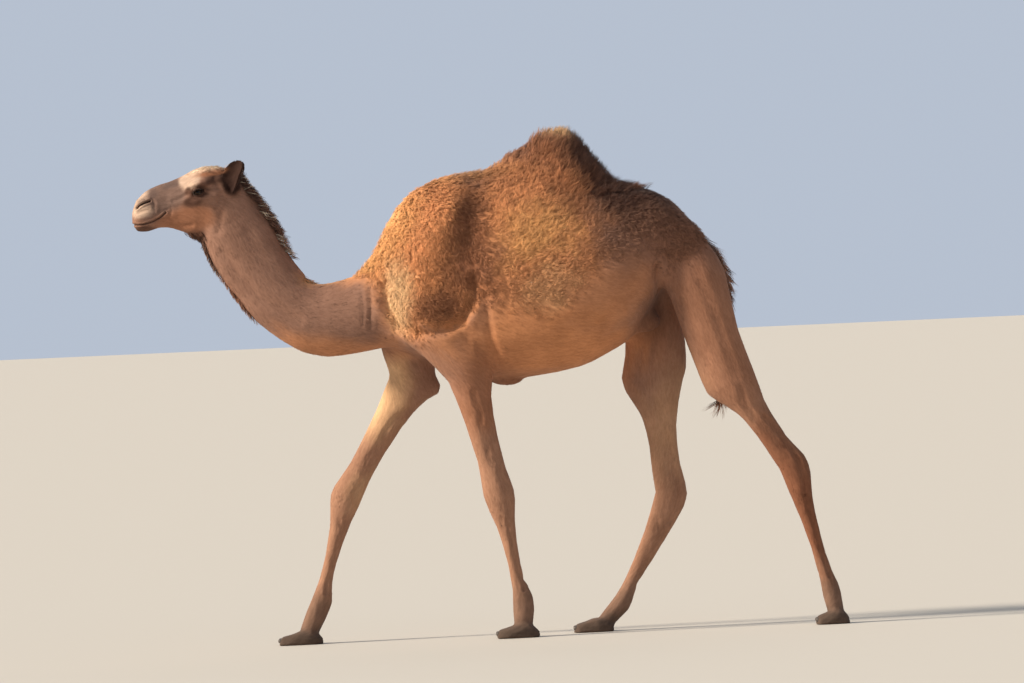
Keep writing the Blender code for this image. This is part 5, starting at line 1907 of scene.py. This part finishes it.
@dataclass(frozen=True)
class Iris:
    """The finish of an eyeball: a wide dark iris, a pupil that lies level, and a wet shine.

    Attributes:
        eye: The eye that it belongs to.
    """

    eye: Eye

    def material(self) -> bpy.types.Material:
        """Colours by the distance from the eye's axis, which Vector Math works out from the place."""
        tree = Tree(f"{self.eye.name}_ball")
        axes, radius = self.eye.axes(), self.eye.radius
        centre = tuple(float(value) for value in self.eye.centre)
        offset = tree.vector("SUBTRACT", {0: tree.places(), 1: centre})
        rows = [tuple(float(value) / radius for value in axis) for axis in axes[:2]]
        across, up = (tree.vector("DOT_PRODUCT", {0: offset, 1: row}, "Value") for row in rows)
        ring = across * across + up * up
        slot_shape = across * across * 5.5 + up * up * 14.0
        streaks = tree.noise(offset, 900.0, 2.0)
        brown = tree.mixed(streaks, (0.030, 0.013, 0.006, 1.0), (0.085, 0.038, 0.015, 1.0))
        iris = tree.mixed(tree.ramp(ring, 0.10, 0.42), brown, (0.012, 0.006, 0.004, 1.0))
        white = tree.mixed(tree.ramp(ring, 0.50, 0.62), iris, (0.10, 0.055, 0.04, 1.0))
        pupil = tree.mixed(tree.ramp(slot_shape, 0.80, 1.0), (0.002, 0.002, 0.003, 1.0), white)
        return tree.finish({
            "Base Color": pupil,
            "Roughness": 0.08 + 0.05 * streaks,
            "Specular IOR Level": 0.10,
            "Coat Weight": 0.18,
            "Coat Roughness": 0.03,
        })


@dataclass(frozen=True)
class Horn:
    """The finish of the nails: dark horn, ridged across its growth and mottled."""

    def material(self) -> bpy.types.Material:
        """Fine level ridges, a mottled brown and a dull shine."""
        tree = Tree("horn")
        where = tree.places()
        grain = tree.noise(where, 260.0, 3.0)
        wave = {"Vector": where, "Scale": 130.0, "Distortion": 2.0}
        ridge = tree.node("ShaderNodeTexWave", {"bands_direction": "Z"}, wave, "Fac")
        colour = tree.mixed(grain, (0.030, 0.022, 0.018, 1.0), (0.105, 0.078, 0.060, 1.0))
        return tree.finish({
            "Base Color": colour,
            "Roughness": 0.42 + 0.2 * grain,
            "Normal": tree.bump(ridge + grain, 0.35, 0.5 * MM),
        })


# ---- small parts ----


def eyeball(eye: Eye) -> Object:
    """A ball of latitude rings about the eye's own axis, with a cornea that stands a little proud.

    The radius is r * (0.955 + 0.045 * exp(-(a / 0.45)^2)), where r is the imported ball's and a is the angle
    from the axis.
    """
    rings, sides = 28, 48
    angle = np.linspace(0.0, math.pi, rings + 2)[1:-1]
    turn = circle(sides)
    radius = eye.radius * (0.955 + 0.045 * bell(angle, 0.45))
    local = turned_rings(radius * np.sin(angle), np.cos(turn), np.sin(turn), radius * np.cos(angle))
    points, faces = closed_tube(local @ eye.axes() + eye.centre)
    return object_from(f"{eye.name}_ball", points, faces)


def nail(name: str) -> Object:
    """A broad toenail in its packed box: a rounded block with a ridge.

    With a the angle round and e the angle up, each point is half size * (cos e cos a, cos e sin a, sin e),
    with powers of 0.8 that square the outline, a ridge of 4% in front and a few percent left free all round.
    """
    half = (BOXES[name][1] - BOXES[name][0]) / 2.0
    rings, sides = 14, 28
    rise = np.linspace(-math.pi / 2.0, math.pi / 2.0, rings + 2)[1:-1]
    turn = circle(sides)

    def squared(value: Array) -> Array:
        """The value's size to the power of 0.8, with its own sign."""
        return np.sign(value) * np.abs(value) ** 0.8

    shape = turned_rings(
        squared(np.cos(rise)), squared(np.cos(turn)), squared(np.sin(turn)), squared(np.sin(rise))
    )
    shape[..., 0] *= 1.0 + 0.04 * bell(np.sin(turn), 0.35)
    points, faces = closed_tube(middle_of(name) + shape * [0.96, 0.98, 0.96] * half)
    return object_from(f"{name}_horn", points, faces)


# ---- studio ----


@dataclass(frozen=True)
class Studio:
    """The floor, the soft light and the camera.

    Attributes:
        distance: From the camera to the middle plane.
        height: Of the camera above the floor.
        aim: The point that the camera looks at, as x and z.
        lens: Focal length in millimetres.
        roll: Degrees that the camera is turned about its view.
    """

    distance: float = 30.0
    height: float = 1.31
    aim: tuple[float, float] = (0.102, 1.203)
    lens: float = 258.4
    roll: float = 2.5256

    def floor(self) -> None:
        """A wide plain floor just under the soles."""
        corners = 400.0 * np.array([[-1.0, -1.0, 0.0], [1.0, -1.0, 0.0], [1.0, 1.0, 0.0], [-1.0, 1.0, 0.0]])
        plane = object_from("studio_floor", corners - [0.0, 0.0, 0.5 * MM], np.array([[0, 1, 2, 3]]))
        tree = Tree("studio_floor")
        pale = (0.60, 0.56, 0.505, 1.0)
        plane.data.materials.append(
            tree.finish({"Base Color": pale, "Roughness": 0.9, "Specular IOR Level": 0.1})
        )

    def light(self, name: str, way: Sequence[float], spread: float, power: float, colour: Colour) -> None:
        """A broad soft light from far off, the same over the whole floor.

        Args:
            name: The light's name.
            way: From the animal towards the light.
            spread: How wide the light looks, in degrees.
            power: Its strength.
            colour: Its colour.
        """
        lamp = bpy.data.lights.new(name, "SUN")
        lamp.angle = math.radians(spread)
        lamp.energy = power
        lamp.color = colour
        linked(name, lamp).rotation_euler = look(np.array(way), np.zeros(3))

    def world(self) -> None:
        """A pale backdrop low over the floor, which fades by nine degrees up into a dimmer even sky."""
        tree = Tree("studio", bpy.data.worlds)
        way = tree.node("ShaderNodeTexCoord", {}, {}, "Generated")
        rise = tree.node("ShaderNodeSeparateXYZ", {}, {0: way}, "Z")
        sky = tree.mixed(tree.ramp(rise, 0.05, 0.16), (0.47, 0.53, 0.63, 1.0), (0.29, 0.32, 0.37, 1.0))
        bpy.context.scene.world = tree.finish({"Color": sky})

    def camera(self) -> None:
        """A long lens at the height of a standing person, a little turned about its view."""
        lens = bpy.data.cameras.new("camera")
        lens.lens = self.lens
        lens.sensor_width = 36.0
        lens.clip_end = 1000.0
        made = linked("camera", lens)
        place = np.array([self.aim[0], -self.distance, self.height])
        target = np.array([self.aim[0], 0.0, self.aim[1]])
        made.location = place
        made.rotation_euler = look(place, target, math.radians(-self.roll))
        bpy.context.scene.camera = made

    def build(self) -> None:
        """Sets up everything round the animal."""
        self.floor()
        self.world()
        self.light("key", (-1.0, -0.24, 0.54), 11.0, 5.8, (1.0, 0.90, 0.75))
        self.light("fill", (0.25, -1.0, 0.35), 60.0, 0.22, (1.0, 0.95, 0.90))
        self.light("rim", (0.1, 1.0, 0.7), 45.0, 0.35, (1.0, 0.96, 0.92))
        bpy.context.scene.view_settings.view_transform = "Standard"
        self.camera()


def look(place: Array, target: Array, roll: float = 0.0) -> Any:
    """The turn that points an object's -Z from a place at a target, rolled about that line.

    Args:
        place: Where the object is.
        target: What it looks at.
        roll: How far it is turned about the line between them, in radians.

    Returns:
        The turn as Euler angles.
    """
    way = Vector(target - place)
    turn = way.to_track_quat("-Z", "Y").to_matrix() @ Matrix.Rotation(roll, 3, "Z")
    return turn.to_euler()


# ---- the animal ----


@dataclass
class Camel:
    """The whole animal: skin, coat, eyes and nails.

    Attributes:
        coat: How the coat varies.
        lie: How its hair lies.
    """

    coat: Coat = field(default_factory=Coat)
    lie: Lie = field(default_factory=Lie)

    def dress(self, made: Object, finish: bpy.types.Material, slot: str) -> None:
        """Gives a piece its finish, and lets it ride with the body."""
        made.data.materials.clear()
        made.data.materials.append(finish)
        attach(made, "root")
        log.info("%s: %d faces", made.name, len(made.data.polygons))

    def build(self) -> None:
        """Makes every piece in turn."""
        skin = Skin(self.coat, self.lie).build()
        self.dress(skin, Hide().material(), "tan_coat")
        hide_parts(*FLESH)
        maker = CoatMaker(Scalp(skin), self.coat, self.lie)
        soft = Fibre("wool_fibre", 0.85, 0.15).material()
        sleek = Fibre("short_hair", 0.85, 0.03).material()
        for piece in PIECES:
            finish = sleek if piece.hair in (Hair.SHORT, Hair.FINE, Hair.FACE) else soft
            self.dress(maker.grow(piece), finish, piece.slot)
        for upper in (True, False):
            self.dress(maker.lashes(upper), sleek, "dark_wool")
        for eye in EYES:
            ball = eyeball(eye)
            self.dress(ball, Iris(eye).material(), "eye")
            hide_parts(eye.name)
        horn = Horn().material()
        for name in sorted(BOXES):
            if name.startswith("nail_"):
                made = nail(name)
                self.dress(made, horn, "nail")
                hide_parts(name)


def main() -> None:
    """Builds the animal and the studio."""
    logging.basicConfig(level=logging.INFO, format="%(message)s")
    Camel().build()
    Studio().build()


if __name__ == "__main__":
    main()
